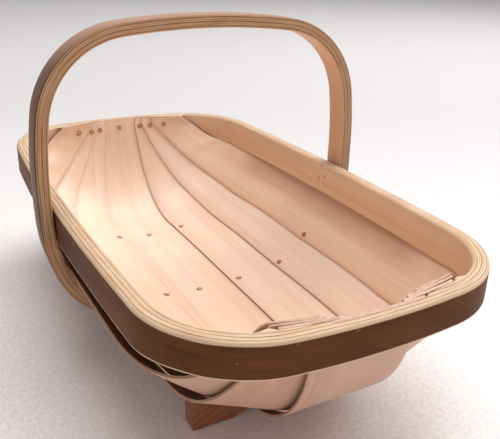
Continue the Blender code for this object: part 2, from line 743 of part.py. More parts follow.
def turned_solid(work, profile, matrix, segments=HEAD_SEGMENTS):
    """Add a solid of revolution about local Z; the profile runs from its top to its lower end."""
    rings = []
    for radius, height in profile:
        if radius == 0:
            rings.append([work.verts.new(matrix @ Vector((0, 0, height)))])
            continue
        ring = []
        for k in range(segments):
            angle = 2 * math.pi * k / segments
            local = Vector((radius * math.cos(angle), radius * math.sin(angle), height))
            ring.append(work.verts.new(matrix @ local))
        rings.append(ring)
    for upper, lower in zip(rings[:-1], rings[1:]):
        for k in range(segments):
            after = (k + 1) % segments
            if len(upper) == 1:
                work.faces.new((upper[0], lower[k], lower[after]))
            elif len(lower) == 1:
                work.faces.new((upper[k], lower[0], upper[after]))
            else:
                work.faces.new((upper[k], lower[k], lower[after], upper[after]))


def head_seat(surface, place, outward, radius):
    """The place moved along the shank until a head of this radius just touches the surface."""
    turn = outward.to_track_quat("Z", "Y").to_matrix()
    spots = [Vector((0, 0, 0))]
    for k in range(HEAD_SEGMENTS):
        angle = 2 * math.pi * k / HEAD_SEGMENTS
        spots.append(turn @ Vector((radius * math.cos(angle), radius * math.sin(angle), 0)))
    above = outward * -SEAT_SEARCH
    depths = [surface.ray_cast(place + spot + above, outward)[3] for spot in spots]
    return place + above + outward * min(depth for depth in depths if depth is not None)


class Fastener:
    """A tack or pin driven along its shank, its head on the surface at its seat."""

    def __init__(self, name, place, outward, surface, carrier, passes, kind):
        self.name = name
        self.kind = kind
        self.passes = passes
        self.outward = Vector(outward).normalized()
        self.seat = head_seat(surface, Vector(place), self.outward, kind["head"])
        hit = carrier.ray_cast(self.seat, self.outward)
        depth = hit[3] if hit[3] is not None else kind["fallback"]
        self.length = depth + kind["bite"]
        turn = (-self.outward).to_track_quat("Z", "Y").to_matrix().to_4x4()
        self.matrix = Matrix.Translation(self.seat) @ turn

    def build(self, material):
        kind = self.kind
        head = kind["head"]
        top = GAP + kind["height"]
        profile = (
            (0, top),
            (head * DOME_WIDTH, top - kind["height"] * DOME_FALL),
            (head, GAP + kind["height"] * HEAD_EDGE),
            (head, GAP),
            (kind["shank"], GAP),
            (kind["shank"], kind["point"] - self.length),
            (0, -self.length),
        )
        work = bmesh.new()
        turned_solid(work, profile, Matrix.Identity(4))
        bmesh.ops.recalc_face_normals(work, faces=work.faces)
        mesh = bpy.data.meshes.new(self.name)
        work.to_mesh(mesh)
        work.free()
        mesh.shade_smooth()
        mesh.set_sharp_from_angle(angle=math.radians(50))
        mesh.materials.append(material)
        piece = bpy.data.objects.new(self.name, mesh)
        piece.matrix_world = self.matrix
        bpy.context.scene.collection.objects.link(piece)

    def add_hole(self, work):
        radius = self.kind["shank"] + GAP
        above = 4 * GAP
        profile = ((0, above), (radius, above), (radius, -self.length - GAP), (0, -self.length - GAP))
        turned_solid(work, profile, self.matrix)


TACK = {"head": TACK_HEAD_RADIUS, "height": TACK_HEAD_HEIGHT, "shank": TACK_SHANK_RADIUS,
        "bite": TACK_BITE, "point": TACK_POINT, "fallback": 4 * BOARD_THICKNESS}
PIN = {"head": PIN_HEAD_RADIUS, "height": PIN_HEAD_HEIGHT, "shank": PIN_SHANK_RADIUS,
       "bite": TACK_BITE, "point": PIN_POINT, "fallback": 2 * RIM_THICKNESS}


def blend_rows(rows, fraction):
    return np.array([np.interp(fraction, STATIONS, rows[:, k]) for k in range(3)])


def board_seat(board, fraction, offset):
    """A place on a board's inner face, this far across from its first column, and the direction there."""
    columns = range(board.inner.shape[1])
    places = np.array([blend_rows(board.inner[:, k], fraction) for k in columns])
    normals = np.array([blend_rows(board.normal[:, k], fraction) for k in columns])
    across = lengths_along(places)
    place = np.array([np.interp(offset, across, places[:, k]) for k in range(3)])
    normal = np.array([np.interp(offset, across, normals[:, k]) for k in range(3)])
    return place, unit(normal)


def row_of_tacks(row, fraction, end, hull, offsets, centre_offset, carrier, carrier_name, tops=None):
    """One tack for each board across the hull; end is 1 at the front and -1 at the rear."""
    sides, surfaces = hull
    tacks = []
    flip = np.array([end, -1.0, 1.0])
    place, lean = board_seat(sides[-1][0], fraction, centre_offset)
    seats = [("centre", place * flip, lean * flip, ["board_centre"])]
    flip = np.array([end, 1.0, 1.0])
    for side, side_offsets in offsets.items():
        word = "right" if side > 0 else "left"
        for number, offset in enumerate(side_offsets, start=1):
            shift = tops[number - 1] if tops else 0.0
            place, normal = board_seat(sides[side][number], fraction + shift / PROFILE_LENGTH, offset)
            turn = flip * np.array([1.0, side, 1.0])
            under = ["board_centre"] + [f"board_{word}_{k}" for k in range(1, number + 1)]
            seats.append((f"{word}_{number}", place * turn, normal * turn, under))
    for label, place, normal, under in seats:
        passes = under + [carrier_name]
        tacks.append(Fastener(f"tack_{row}_{label}", raised(place), -normal, surfaces[under[-1]],
                              carrier, passes, TACK))
    return tacks


def all_tacks(sides, boards, rim, handle, feet):
    surfaces = {name: surface_of(board) for name, board in boards.items()}
    hull = (sides, surfaces)
    end_fraction = 1 - END_ROW_DEPTH / PROFILE_LENGTH
    foot_fraction = FOOT_SPACING / 2 / PROFILE_LENGTH
    tacks = []
    for word, end in (("front", 1.0), ("rear", -1.0)):
        tacks += row_of_tacks(f"rim_{word}", end_fraction, end, hull,
                              {1: END_TACKS_RIGHT, -1: END_TACKS_LEFT}, CENTRE_TACK_END,
                              surface_of(rim), "rim_hoop")
        tacks += row_of_tacks(f"foot_{word}", foot_fraction, end, hull,
                              {1: (FOOT_TACKS,), -1: (FOOT_TACKS,)}, CENTRE_TACK_FLOOR,
                              surface_of(feet[word]), f"foot_{word}")
    tacks += row_of_tacks("handle", 0.0, 1.0, hull,
                          {1: HANDLE_TACKS_RIGHT, -1: HANDLE_TACKS_LEFT}, CENTRE_TACK_FLOOR,
                          surface_of(handle), "handle_hoop", HANDLE_TACK_OFFSETS)
    return tacks


def all_pins(rim, handle):
    """Steel pins through the rim into the handle, two on each side."""
    rim_surface = surface_of(rim)
    handle_surface = surface_of(handle)
    pins = []
    for side, word in ((1.0, "right"), (-1.0, "left")):
        for end, place, depth in ((-1.0, "rear", PIN_DEPTHS[0]), (1.0, "front", PIN_DEPTHS[1])):
            outward = Vector((0.0, side, 0.0))
            start = Vector((end * PIN_SPACING / 2, 0.0, DATUM - depth))
            seat = rim_surface.ray_cast(start, outward)[0]
            pins.append(Fastener(f"pin_{word}_{place}", seat, outward, rim_surface, handle_surface,
                                 ["rim_hoop", "handle_hoop"], PIN))
    return pins


def cut_holes(pieces, fasteners):
    """Clearance holes for the shanks, one joined cutter for each piece."""
    for name, piece in pieces.items():
        work = bmesh.new()
        for fastener in fasteners:
            if name in fastener.passes:
                fastener.add_hole(work)
        bmesh.ops.recalc_face_normals(work, faces=work.faces)
        mesh = bpy.data.meshes.new(f"holes_{name}")
        work.to_mesh(mesh)
        work.free()
        cutter = bpy.data.objects.new(f"holes_{name}", mesh)
        cutter.hide_render = True
        cutter.display_type = "WIRE"
        bpy.context.scene.collection.objects.link(cutter)
        cut = piece.modifiers.new("tack holes", "BOOLEAN")
        cut.operation = "DIFFERENCE"
        cut.object = cutter


def main():
    clear_scene()
    birch = make_material("birch_board", srgb(240, 212, 186), 0.38)
    ply = make_material("rim_ply", srgb(150, 112, 84), 0.45)
    stained = make_material("handle_ply", srgb(128, 92, 64), 0.42)
    block = make_material("foot_wood", srgb(122, 70, 42), 0.55)
    copper = make_material("tack_copper", srgb(168, 110, 84), 0.35, 1.0)
    steel = make_material("pin_steel", srgb(150, 142, 132), 0.4, 1.0)
    sides = {1: side_boards(LOWER_EDGES_RIGHT, CENTRE_EDGE_RIGHT),
             -1: side_boards(LOWER_EDGES_LEFT, CENTRE_EDGE_LEFT)}
    boards = build_boards(sides, birch)
    rim = build_rim(ply)
    handle = build_handle(sides, stained)
    feet = {word: build_foot(f"foot_{word}", end * FOOT_SPACING / 2, block)
            for word, end in (("front", 1), ("rear", -1))}
    pieces = {**boards, "rim_hoop": rim, "handle_hoop": handle}
    pieces.update({f"foot_{word}": foot for word, foot in feet.items()})
    tacks = all_tacks(sides, boards, rim, handle, feet)
    pins = all_pins(rim, handle)
    for tack in tacks:
        tack.build(copper)
    for pin in pins:
        pin.build(steel)
    cut_holes(pieces, tacks + pins)


main()
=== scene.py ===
"""Looks of the garden trug: birch boards, stained ply rim and handle, wooden feet, copper tacks."""
import math

import bmesh
import bpy
import numpy as np
from mathutils import Matrix, Vector
from mathutils.bvhtree import BVHTree


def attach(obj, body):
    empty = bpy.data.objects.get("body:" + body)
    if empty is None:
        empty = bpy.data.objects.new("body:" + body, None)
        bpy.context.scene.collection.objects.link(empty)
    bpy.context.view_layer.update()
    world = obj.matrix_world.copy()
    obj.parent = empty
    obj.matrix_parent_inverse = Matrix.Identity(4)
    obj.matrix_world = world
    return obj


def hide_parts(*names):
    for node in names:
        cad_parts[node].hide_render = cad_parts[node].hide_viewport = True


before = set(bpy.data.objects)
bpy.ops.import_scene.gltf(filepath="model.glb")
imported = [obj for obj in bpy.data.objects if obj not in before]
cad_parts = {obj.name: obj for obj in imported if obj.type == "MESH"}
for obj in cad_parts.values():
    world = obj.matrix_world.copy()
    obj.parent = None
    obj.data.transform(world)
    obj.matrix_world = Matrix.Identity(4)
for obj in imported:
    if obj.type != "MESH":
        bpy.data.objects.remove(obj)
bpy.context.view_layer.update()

GAP = 0.0003                    # clearance between touching pieces

# Rim hoop, measured on its outer face
RIM_LENGTH = 0.560
RIM_WIDTH = 0.3012
RIM_CORNER_RADIUS = 0.087
RIM_SIDE_BOW = 0.0116
RIM_END_BOW = 0.0187
RIM_THICKNESS = 0.013
RIM_RISE = 0.0025               # rim top above the datum plane
RIM_DROP = 0.0295               # rim bottom below the datum plane
RIM_OUTER_ARRIS = 0.0034
RIM_INNER_ARRIS = 0.0026
RIM_LOWER_ARRIS = 0.0012
RIM_SHARP_ARRIS = 0.0004        # lower edge of the inner face
RIM_END_LIFT = 0.004            # how much the lower edge rises at the two ends
RIM_LIFT_START = 0.190
RIM_LIFT_END = 0.245
SCOOP_DEPTH = 0.0050            # how much thinner the rim is where the board ends are let in
SCOOP_FLAT_HALF = 0.0490
SCOOP_HALF = 0.0705
END_BOW_HALF = 0.074            # the board ends follow the rim this far from its middle
BOW_STEP = 0.015                # stretch of it that gives the direction of the straight rest
RIM_STEP = 0.001                # stretch of the rim that gives its direction

# Hull of seven boards
BOARD_THICKNESS = 0.002
BOARD_COLUMNS = (4, 6)          # strips across a board, below and beyond the next board's edge
PROFILE_STEP = 0.002            # share of the profile over which its slope is taken
HULL_DEPTH = 0.1165             # datum plane down to the inside of the centre board
FLOOR_HALF_LENGTH = 0.176       # flat part of the centre board
WALL_HEIGHT = 0.030             # straight end of the centre board below the datum plane
WALL_LEAN = 0.0062              # how far that end leans outward
BEND_REACH = 0.5523             # control length of the bend, a share of its two spans
BOW_FADE_HEIGHT = 0.045         # stretch below it over which the boards become straight across
BOW_FADE_START = 0.150          # and the same along the basket
BOW_FADE_LENGTH = 0.070
BOARD_TOP_RISE = 0.0020         # board ends above the datum plane
CENTRE_EDGE_RIGHT = 0.0385
CENTRE_EDGE_LEFT = 0.0475
CORNER_CLIP_WIDTH = 0.0045
CORNER_CLIP_HEIGHT = 0.008
END_STACK_HEIGHT = 0.024        # stretch behind the rim where the boards lie close on each other

# Lower edge of each side board: its distance from the long centre line at these lengths down
# from the rim, which are at the rim, wall, bend, heel, floor and waist, and then at mid-length
EDGE_MARKS = (0.0, 0.030, 0.065, 0.105, 0.155, 0.215)
LOWER_EDGES_RIGHT = (
    (0.0165, 0.0193, 0.0221, 0.0252, 0.0282, 0.0294, 0.0297),
    (0.0225, 0.0355, 0.0508, 0.0638, 0.0749, 0.0792, 0.0810),
    (0.0330, 0.0578, 0.0792, 0.0943, 0.1063, 0.1116, 0.1136),
)
LOWER_EDGES_LEFT = (
    (0.0210, 0.0260, 0.0315, 0.0369, 0.0390, 0.0395, 0.0395),
    (0.0345, 0.0465, 0.0640, 0.0775, 0.0860, 0.0885, 0.0890),
    (0.0380, 0.0630, 0.0860, 0.1030, 0.1125, 0.1155, 0.1160),
)

# Upper edges of the first and second side boards, which stand free below the rim
FREE_EDGES = (
    {"half_span": 0.107, "depth": 0.103,
     "straight": 0.145,         # half length of the straight stretch
     "narrowing": 0.001,        # how much nearer the middle its end is
     "rise": 0.0025,            # and how much higher
     "end_y": 0.072, "climb": math.radians(62), "start_reach": 0.048, "end_reach": 0.074},
    {"half_span": 0.143, "depth": 0.059, "straight": 0.130, "narrowing": 0.002, "rise": 0.0005,
     "end_y": 0.076, "climb": math.radians(46), "start_reach": 0.081, "end_reach": 0.062},
)
EDGE_INSET = 3 * GAP            # from the rim's inner face to the ends of the upper edges

# Upper edge of the third side board: it tucks under the rim, then climbs inside the rim's corner
BOARD_3_OVERHANG = 0.0106       # how far it stands outside the rim's inner face at mid-length
BOARD_3_TUCK_END = 0.0042       # and where it starts to climb
BOARD_3_END_Y = 0.079
BOARD_3_TUCK_LENGTH = 0.222     # length along the rim before it starts to climb
BOARD_3_CROSS_RATE = 5.0        # how soon on the climb it is inside the rim
BOARD_3_TILT = 0.72             # how flat it lies under the rim: 0 upright, 1 level
BOARD_3_CLIMB_DELAY = 0.15
BOARD_3_END_SLOPE = 0.55
RULING_SWAY = (0.055, 0.050, 0.030)
EDGE_CLEARANCE = 1.5 * GAP      # least height of a side board's upper edge over the one below
RISE_SHARES = tuple(k / 12 for k in range(2, 13))

# Handle hoop
HANDLE_WIDTH = 0.0261
HANDLE_THICKNESS = 0.0114
HANDLE_HALF_SPAN = 0.1521       # inner face at its widest, above the rim
HANDLE_MIDDLE_RISE = 0.0201     # height of that widest point above the datum plane
HANDLE_CROWN_HEIGHT = 0.1292    # from there up to the inside of the top
HANDLE_CORNER_RADIUS = 0.0772
HANDLE_SIDE_BOW = 0.0213
HANDLE_TOP_BOW = 0.0176
HANDLE_ARRIS = 0.0014
HANDLE_FLAT_HALF = 0.048        # flat stretch under the centre board
HANDLE_ANGLES = (math.radians(5), math.radians(31), math.radians(72), math.radians(84))

FOOT_HEIGHT = 0.0322
SEAT_SEARCH = 0.004             # how far off its place a surface is looked for
TOP_PROBE = 0.001               # a board's top is measured this far below it

# Mesh fineness
CURVE_POINTS = 160
FLOOR_STATIONS = 22
BEND_STATIONS = 44
WALL_STATIONS = 6
RIM_STATIONS = (40, 48, 20)     # side, corner and end
HANDLE_LOWER_STATIONS = 16      # between two supports
HANDLE_CROWN_STATIONS = (16, 40, 16)

RIM_HALF_LENGTH = RIM_LENGTH / 2
RIM_HALF_WIDTH = RIM_WIDTH / 2
DATUM = FOOT_HEIGHT + GAP + BOARD_THICKNESS + HULL_DEPTH


def srgb(red, green, blue):
    def linear(value):
        value /= 255
        if value <= 0.04045:
            return value / 12.92
        return ((value + 0.055) / 1.055) ** 2.4
    return (linear(red), linear(green), linear(blue), 1.0)


def unit(vectors):
    return vectors / np.linalg.norm(vectors, axis=-1, keepdims=True)


def smoothstep(value):
    value = np.clip(value, 0.0, 1.0)
    return value * value * (3 - 2 * value)


def lengths_along(points):
    steps = np.linalg.norm(np.diff(points, axis=0), axis=1)
    return np.concatenate([[0.0], np.cumsum(steps)])


def resample(points, fractions):
    """Points at the given fractions of a polyline's length."""
    along = lengths_along(points)
    along = along / along[-1]
    return np.stack([np.interp(fractions, along, points[:, k]) for k in range(3)], axis=1)


def bowed_quarter(half_long, half_short, corner, long_bow, short_bow, counts):
    """A quarter of a bowed rounded rectangle, from the middle of the long side to the middle
    of the short side: points and outward normals, three tangent arcs."""
    long_radius = (half_long ** 2 + long_bow ** 2) / (2 * long_bow)
    short_radius = (half_short ** 2 + short_bow ** 2) / (2 * short_bow)
    long_centre = np.array([0.0, half_short - long_radius])
    short_centre = np.array([half_long - short_radius, 0.0])
    reach_long = long_radius - corner
    reach_short = short_radius - corner
    between = short_centre - long_centre
    distance = np.linalg.norm(between)
    along = (reach_long ** 2 - reach_short ** 2 + distance ** 2) / (2 * distance)
    across = math.sqrt(reach_long ** 2 - along ** 2)
    direction = between / distance
    side_step = np.array([-direction[1], direction[0]]) * across
    foot = long_centre + direction * along
    corner_centre = max((foot + side_step, foot - side_step), key=min)
    long_angle = math.atan2(*(corner_centre - long_centre)[::-1])
    short_angle = math.atan2(*(corner_centre - short_centre)[::-1])
    arcs = (
        (long_centre, long_radius, math.pi / 2, long_angle, counts[0]),
        (corner_centre, corner, long_angle, short_angle, counts[1]),
        (short_centre, short_radius, short_angle, 0.0, counts[2]),
    )
    points = []
    normals = []
    for centre, radius, start, stop, count in arcs:
        for angle in np.linspace(start, stop, count + 1)[:-1]:
            normal = np.array([math.cos(angle), math.sin(angle)])
            points.append(centre + radius * normal)
            normals.append(normal)
    points.append(np.array([half_long, 0.0]))
    normals.append(np.array([1.0, 0.0]))
    return np.array(points), np.array(normals)


def rim_quarter(counts):
    return bowed_quarter(RIM_HALF_LENGTH, RIM_HALF_WIDTH, RIM_CORNER_RADIUS,
                         RIM_SIDE_BOW, RIM_END_BOW, counts)


def mirror_quarter(points, normals):
    """The whole closed outline from one quarter."""
    turns = (((1, 1), 1), ((1, -1), -1), ((-1, -1), 1), ((-1, 1), -1))

    def turned(values):
        return np.concatenate([(values * signs)[::order][:-1] for signs, order in turns])
    return turned(points), turned(normals)


def rim_thickness(lateral):
    """The rim's thickness at this distance from the long centre line."""
    fade = smoothstep((np.abs(lateral) - SCOOP_FLAT_HALF) / (SCOOP_HALF - SCOOP_FLAT_HALF))
    return RIM_THICKNESS - SCOOP_DEPTH * (1 - fade)


def rim_lift(x):
    """How much the rim's lower edge rises at this distance along it."""
    return RIM_END_LIFT * smoothstep((np.abs(x) - RIM_LIFT_START) / (RIM_LIFT_END - RIM_LIFT_START))


class RimFace:
    """The rim's inner face seen from above, read by length along it from mid-side."""

    def __init__(self):
        points, normals = rim_quarter((CURVE_POINTS,) * 3)
        self.points = points - normals * rim_thickness(points[:, 1])[:, None]
        self.end_curve = points - normals * (RIM_THICKNESS - SCOOP_DEPTH)
        self.normals = normals
        self.along = lengths_along(self.points)

    def at(self, length, outward):
        place = []
        for k in range(2):
            centre = np.interp(length, self.along, self.points[:, k])
            normal = np.interp(length, self.along, self.normals[:, k])
            place.append(centre + normal * outward)
        return np.array(place)

    def length_at_y(self, lateral):
        """Length along the face where its distance from the long centre line is this."""
        return float(np.interp(-lateral, -self.points[:, 1], self.along))

    def x_at_y(self, lateral):
        return float(np.interp(-lateral, -self.points[:, 1], self.points[:, 0]))


RIM_FACE = RimFace()
WALL_X = RIM_FACE.x_at_y(0.0) - GAP - BOARD_THICKNESS


def end_bow(lateral):
    """Place along the basket of the curve that the board ends follow, straight past its half."""
    lateral = np.abs(lateral)
    marks = (np.minimum(lateral, END_BOW_HALF), END_BOW_HALF, END_BOW_HALF - BOW_STEP)
    across, along = RIM_FACE.end_curve.T[::-1]
    curve, near, before = (np.interp(-mark, -across, along) for mark in marks)
    return curve + (near - before) / BOW_STEP * np.maximum(0.0, lateral - END_BOW_HALF)


def bow_shift(points):
    """How far the rim's bow moves points of a hull that is straight across, along the basket."""
    share = 1 - smoothstep((-points[..., 2] - WALL_HEIGHT) / BOW_FADE_HEIGHT)
    share = share * smoothstep((points[..., 0] - BOW_FADE_START) / BOW_FADE_LENGTH)
    shift = np.zeros(points.shape)
    shift[..., 0] = share * (end_bow(points[..., 1]) - end_bow(0.0))
    return shift


def bezier(start, first, second, stop, count=CURVE_POINTS):
    t = np.linspace(0.0, 1.0, count)[:, None]
    return ((1 - t) ** 3 * start + 3 * (1 - t) ** 2 * t * first
            + 3 * (1 - t) * t ** 2 * second + t ** 3 * stop)


def centre_profile():
    """Inside of the centre board, from mid-length to its end, in the plane y = 0."""
    wall_foot = WALL_X - WALL_LEAN
    start = np.array([FLOOR_HALF_LENGTH, 0.0, -HULL_DEPTH])
    stop = np.array([wall_foot, 0.0, -WALL_HEIGHT])
    top = np.array([WALL_X, 0.0, BOARD_TOP_RISE])
    first = start + np.array([(wall_foot - FLOOR_HALF_LENGTH) * BEND_REACH, 0.0, 0.0])
    second = stop - unit(top - stop) * (HULL_DEPTH - WALL_HEIGHT) * BEND_REACH
    return np.concatenate([[(0.0, 0.0, -HULL_DEPTH)], bezier(start, first, second, stop), [top]])


PROFILE = centre_profile()
PROFILE_LENGTH = lengths_along(PROFILE)[-1]


def station_fractions():
    """Fractions of the profile's length at which every board has a row of points."""
    floor_end = FLOOR_HALF_LENGTH / PROFILE_LENGTH
    wall_start = 1 - (WALL_HEIGHT + BOARD_TOP_RISE) / PROFILE_LENGTH
    clip_start = 1 - CORNER_CLIP_HEIGHT / PROFILE_LENGTH
    parts = [
        np.linspace(0.0, floor_end, FLOOR_STATIONS + 1),
        np.linspace(floor_end, wall_start, BEND_STATIONS + 1)[1:],
        np.linspace(wall_start, clip_start, WALL_STATIONS + 1)[1:],
        np.array([1.0]),
    ]
    return np.concatenate(parts)


STATIONS = station_fractions()
FROM_TOP = (1 - STATIONS) * PROFILE_LENGTH


def swayed(amount):
    """Fractions of an upper edge that pair with the stations: ahead below, behind on the wall."""
    return STATIONS + amount * np.sin(2 * math.pi * STATIONS ** 2)


def rim_end_point(lateral, outward, climb):
    """Where an upper edge meets the top of the rim, and its direction there."""
    length = RIM_FACE.length_at_y(lateral)
    here = RIM_FACE.at(length, outward)
    ahead = RIM_FACE.at(length + RIM_STEP, outward)
    run = unit(ahead - here) * math.cos(climb)
    point = np.array([here[0], here[1], BOARD_TOP_RISE])
    return point, np.array([run[0], run[1], math.sin(climb)])


def free_upper_edge(half_span, depth, straight, narrowing, rise, start_reach,
                    end_y, climb, end_reach):
    """Outer upper edge of a board whose edge stands free below the rim."""
    middle = np.array([0.0, half_span, -depth])
    start = np.array([straight, half_span - narrowing, -depth + rise])
    stop, direction = rim_end_point(end_y, -EDGE_INSET, climb)
    slope = (start - middle) / straight
    curve = bezier(start, start + slope * start_reach, stop - direction * end_reach, stop)
    return np.concatenate([[middle], curve])


def tucked_upper_edge():
    """Outer upper edge of the third board: under the rim, then up inside its corner."""
    end_length = RIM_FACE.length_at_y(BOARD_3_END_Y)
    span = end_length - BOARD_3_TUCK_LENGTH
    points = []
    for length in np.linspace(0.0, end_length, CURVE_POINTS):
        early = smoothstep(length / BOARD_3_TUCK_LENGTH)
        late = max(length - BOARD_3_TUCK_LENGTH, 0.0) / span
        outward = BOARD_3_OVERHANG + (BOARD_3_TUCK_END - BOARD_3_OVERHANG) * early
        outward -= (BOARD_3_TUCK_END + EDGE_INSET) * smoothstep(late * BOARD_3_CROSS_RATE)
        x, y = RIM_FACE.at(length, outward)
        tucked_z = rim_lift(x) - RIM_DROP - GAP - BOARD_THICKNESS * BOARD_3_TILT
        climb = max(late - BOARD_3_CLIMB_DELAY, 0.0) / (1 - BOARD_3_CLIMB_DELAY)
        z = tucked_z + (BOARD_TOP_RISE - tucked_z) * smoothstep(climb)
        z += span * BOARD_3_END_SLOPE * (climb ** 3 - climb ** 2)
        points.append((x, y, z))
    return np.array(points)


def upper_edges():
    edges = [free_upper_edge(**edge) for edge in FREE_EDGES] + [tucked_upper_edge()]
    return [resample(edge, swayed(sway)) for edge, sway in zip(edges, RULING_SWAY)]


def whole_length(half):
    """Rows of points over the whole length from those of the front half."""
    rear = half[::-1] * np.array([-1.0, 1.0, 1.0])
    return np.concatenate([rear, half[1:]])


def inner_normals(outer):
    """Directions toward the inside of the basket over a board's outer face."""
    along = np.gradient(outer, STATIONS, axis=0)
    across = np.gradient(outer, axis=1)
    normals = unit(np.cross(along, across))
    normals[0, :, 0] = 0.0
    return unit(normals)


def smooth_through(marks, values, places):
    """A smooth curve through the values at the marks, read at the places."""
    slopes = np.gradient(values, marks)
    slopes[-1] = 0.0
    span = np.clip(np.searchsorted(marks, places, side="right") - 1, 0, len(marks) - 2)
    width = marks[span + 1] - marks[span]
    t = (places - marks[span]) / width
    level = values[span] + (values[span + 1] - values[span]) * smoothstep(t)
    return level + width * t * (1 - t) * (slopes[span] * (1 - t) - slopes[span + 1] * t)


def edge_line(edge):
    """Distance of a board's lower edge from the long centre line, at each station."""
    marks = np.array([*EDGE_MARKS, PROFILE_LENGTH])
    lateral = smooth_through(marks, np.array(edge), FROM_TOP)
    return lateral + CORNER_CLIP_WIDTH * np.maximum(0.0, 1 - FROM_TOP / CORNER_CLIP_HEIGHT)


def shares(line_reach):
    """Columns across a board, with one under the lower edge of the board that lies on it."""
    first, second = BOARD_COLUMNS
    before = [line_reach * k / first for k in range(first)]
    after = [line_reach + (1 - line_reach) * k / second for k in range(second + 1)]
    return np.stack(before + after, axis=1)


class Board:
    """Half of a board from mid-length to its end: a grid of points on each face.

    It is laid out straight across first, then bowed with the rim."""

    def __init__(self, outer, line_column):
        self.normal = inner_normals(outer)
        inner = outer + self.normal * BOARD_THICKNESS
        self.next_low = (inner + self.normal * GAP)[:, line_column]
        self.next_normal = self.normal[:, line_column]
        self.surface = grid_surface(inner)
        self.outer = outer + bow_shift(outer)
        self.inner = inner + bow_shift(inner)


def centre_board(line, edge):
    """The centre board from its middle out to one edge; line is where the next board starts."""
    inner = resample(PROFILE, STATIONS)
    ahead = resample(PROFILE, np.minimum(STATIONS + PROFILE_STEP, 1.0))
    behind = resample(PROFILE, np.maximum(STATIONS - PROFILE_STEP, 0.0))
    tangent = unit(ahead - behind)
    normal = np.stack([-tangent[:, 2], tangent[:, 1], tangent[:, 0]], axis=1)
    reach = shares(line / edge)
    outer = np.repeat((inner - normal * BOARD_THICKNESS)[:, None], reach.shape[1], axis=1)
    outer[:, :, 1] = reach * edge
    return Board(outer, BOARD_COLUMNS[0])


def grid_surface(grid):
    """The surface through a grid of points, for rays."""
    rows, columns = grid.shape[:2]
    faces = []
    for row in range(rows - 1):
        for column in range(columns - 1):
            a = row * columns + column
            faces.append((a, a + 1, a + columns + 1, a + columns))
    return BVHTree.FromPolygons(grid.reshape(-1, 3).tolist(), faces)


def edge_rise(below, low, upper):
    """How far the upper edge must move in for straight lines across to clear the board below."""
    rise = np.zeros(len(low))
    for row in range(len(low)):
        normal = Vector(below.next_normal[row])
        for share in RISE_SHARES:
            place = low[row] + (upper[row] - low[row]) * share
            place[2] = min(place[2], BOARD_TOP_RISE - TOP_PROBE)
            start = Vector(place) - normal * SEAT_SEARCH
            hit = below.surface.ray_cast(start, normal, 2 * SEAT_SEARCH)
            if hit[0] is not None:
                clearance = GAP + (EDGE_CLEARANCE - GAP) * share
                rise[row] = max(rise[row], (clearance - SEAT_SEARCH + hit[3]) / share)
    spread = np.pad(rise, 2, mode="edge")
    highest = np.maximum.reduce([spread[:-2], spread[1:-1], spread[2:]])
    eased = (highest[:-2] + highest[1:-1] + highest[2:]) / 3
    return np.where(FROM_TOP < END_STACK_HEIGHT, rise, eased)


def side_board(below, upper, next_line):
    """A side board whose lower edge lies on the board below it."""
    low = below.next_low
    upper = upper - bow_shift(upper)
    high = upper + below.next_normal * edge_rise(below, low, upper)[:, None]
    line_reach = np.full(len(low), 0.5)
    if next_line is not None:
        line_reach = (next_line - low[:, 1]) / (high[:, 1] - low[:, 1])
    outer = low[:, None] + (high - low)[:, None] * shares(line_reach)[:, :, None]
    return Board(outer, BOARD_COLUMNS[0])


def side_boards(edges, centre_edge):
    """The centre board's half and the three boards of one side, drawn on the right."""
    lines = [edge_line(edge) for edge in edges] + [None]
    boards = [centre_board(lines[0], centre_edge)]
    for next_line, upper in zip(lines[1:], upper_edges()):
        boards.append(side_board(boards[-1], upper, next_line))
    return boards


def arc(centre_a, centre_b, radius, start, stop, count):
    angles = np.linspace(math.radians(start), math.radians(stop), count + 1)
    return [(centre_a + radius * math.cos(a), centre_b + radius * math.sin(a)) for a in angles]


def rim_section(point):
    """Inward distance and height around the rim's section at this point of its outline."""
    bottom = -RIM_DROP + float(rim_lift(point[0]))
    full = float(rim_thickness(point[1]))
    section = arc(RIM_OUTER_ARRIS, RIM_RISE - RIM_OUTER_ARRIS, RIM_OUTER_ARRIS, 180, 90, 6)
    section += arc(full - RIM_INNER_ARRIS, RIM_RISE - RIM_INNER_ARRIS, RIM_INNER_ARRIS, 90, 0, 6)
    section += arc(full - RIM_SHARP_ARRIS, bottom + RIM_SHARP_ARRIS, RIM_SHARP_ARRIS, 0, -90, 1)
    section += arc(RIM_LOWER_ARRIS, bottom + RIM_LOWER_ARRIS, RIM_LOWER_ARRIS, -90, -180, 4)
    return section


def handle_support_points(sides):
    """Points of the hoop's inner face against the hull and the rim, with the slope at each."""
    flat_angle, first_angle, second_angle, rim_angle = HANDLE_ANGLES
    under_hull = -HULL_DEPTH - BOARD_THICKNESS - GAP
    supports = [((HANDLE_FLAT_HALF, under_hull), flat_angle)]
    for board, angle in ((sides[1][1], first_angle), (sides[1][2], second_angle)):
        edge = board.outer[0, -1]
        supports.append(((edge[1] + GAP * math.sin(angle), edge[2] - GAP * math.cos(angle)), angle))
    supports.append(((RIM_HALF_WIDTH + GAP, -RIM_DROP + 2 * RIM_LOWER_ARRIS), rim_angle))
    supports.append(((HANDLE_HALF_SPAN, HANDLE_MIDDLE_RISE), math.pi / 2))
    return supports


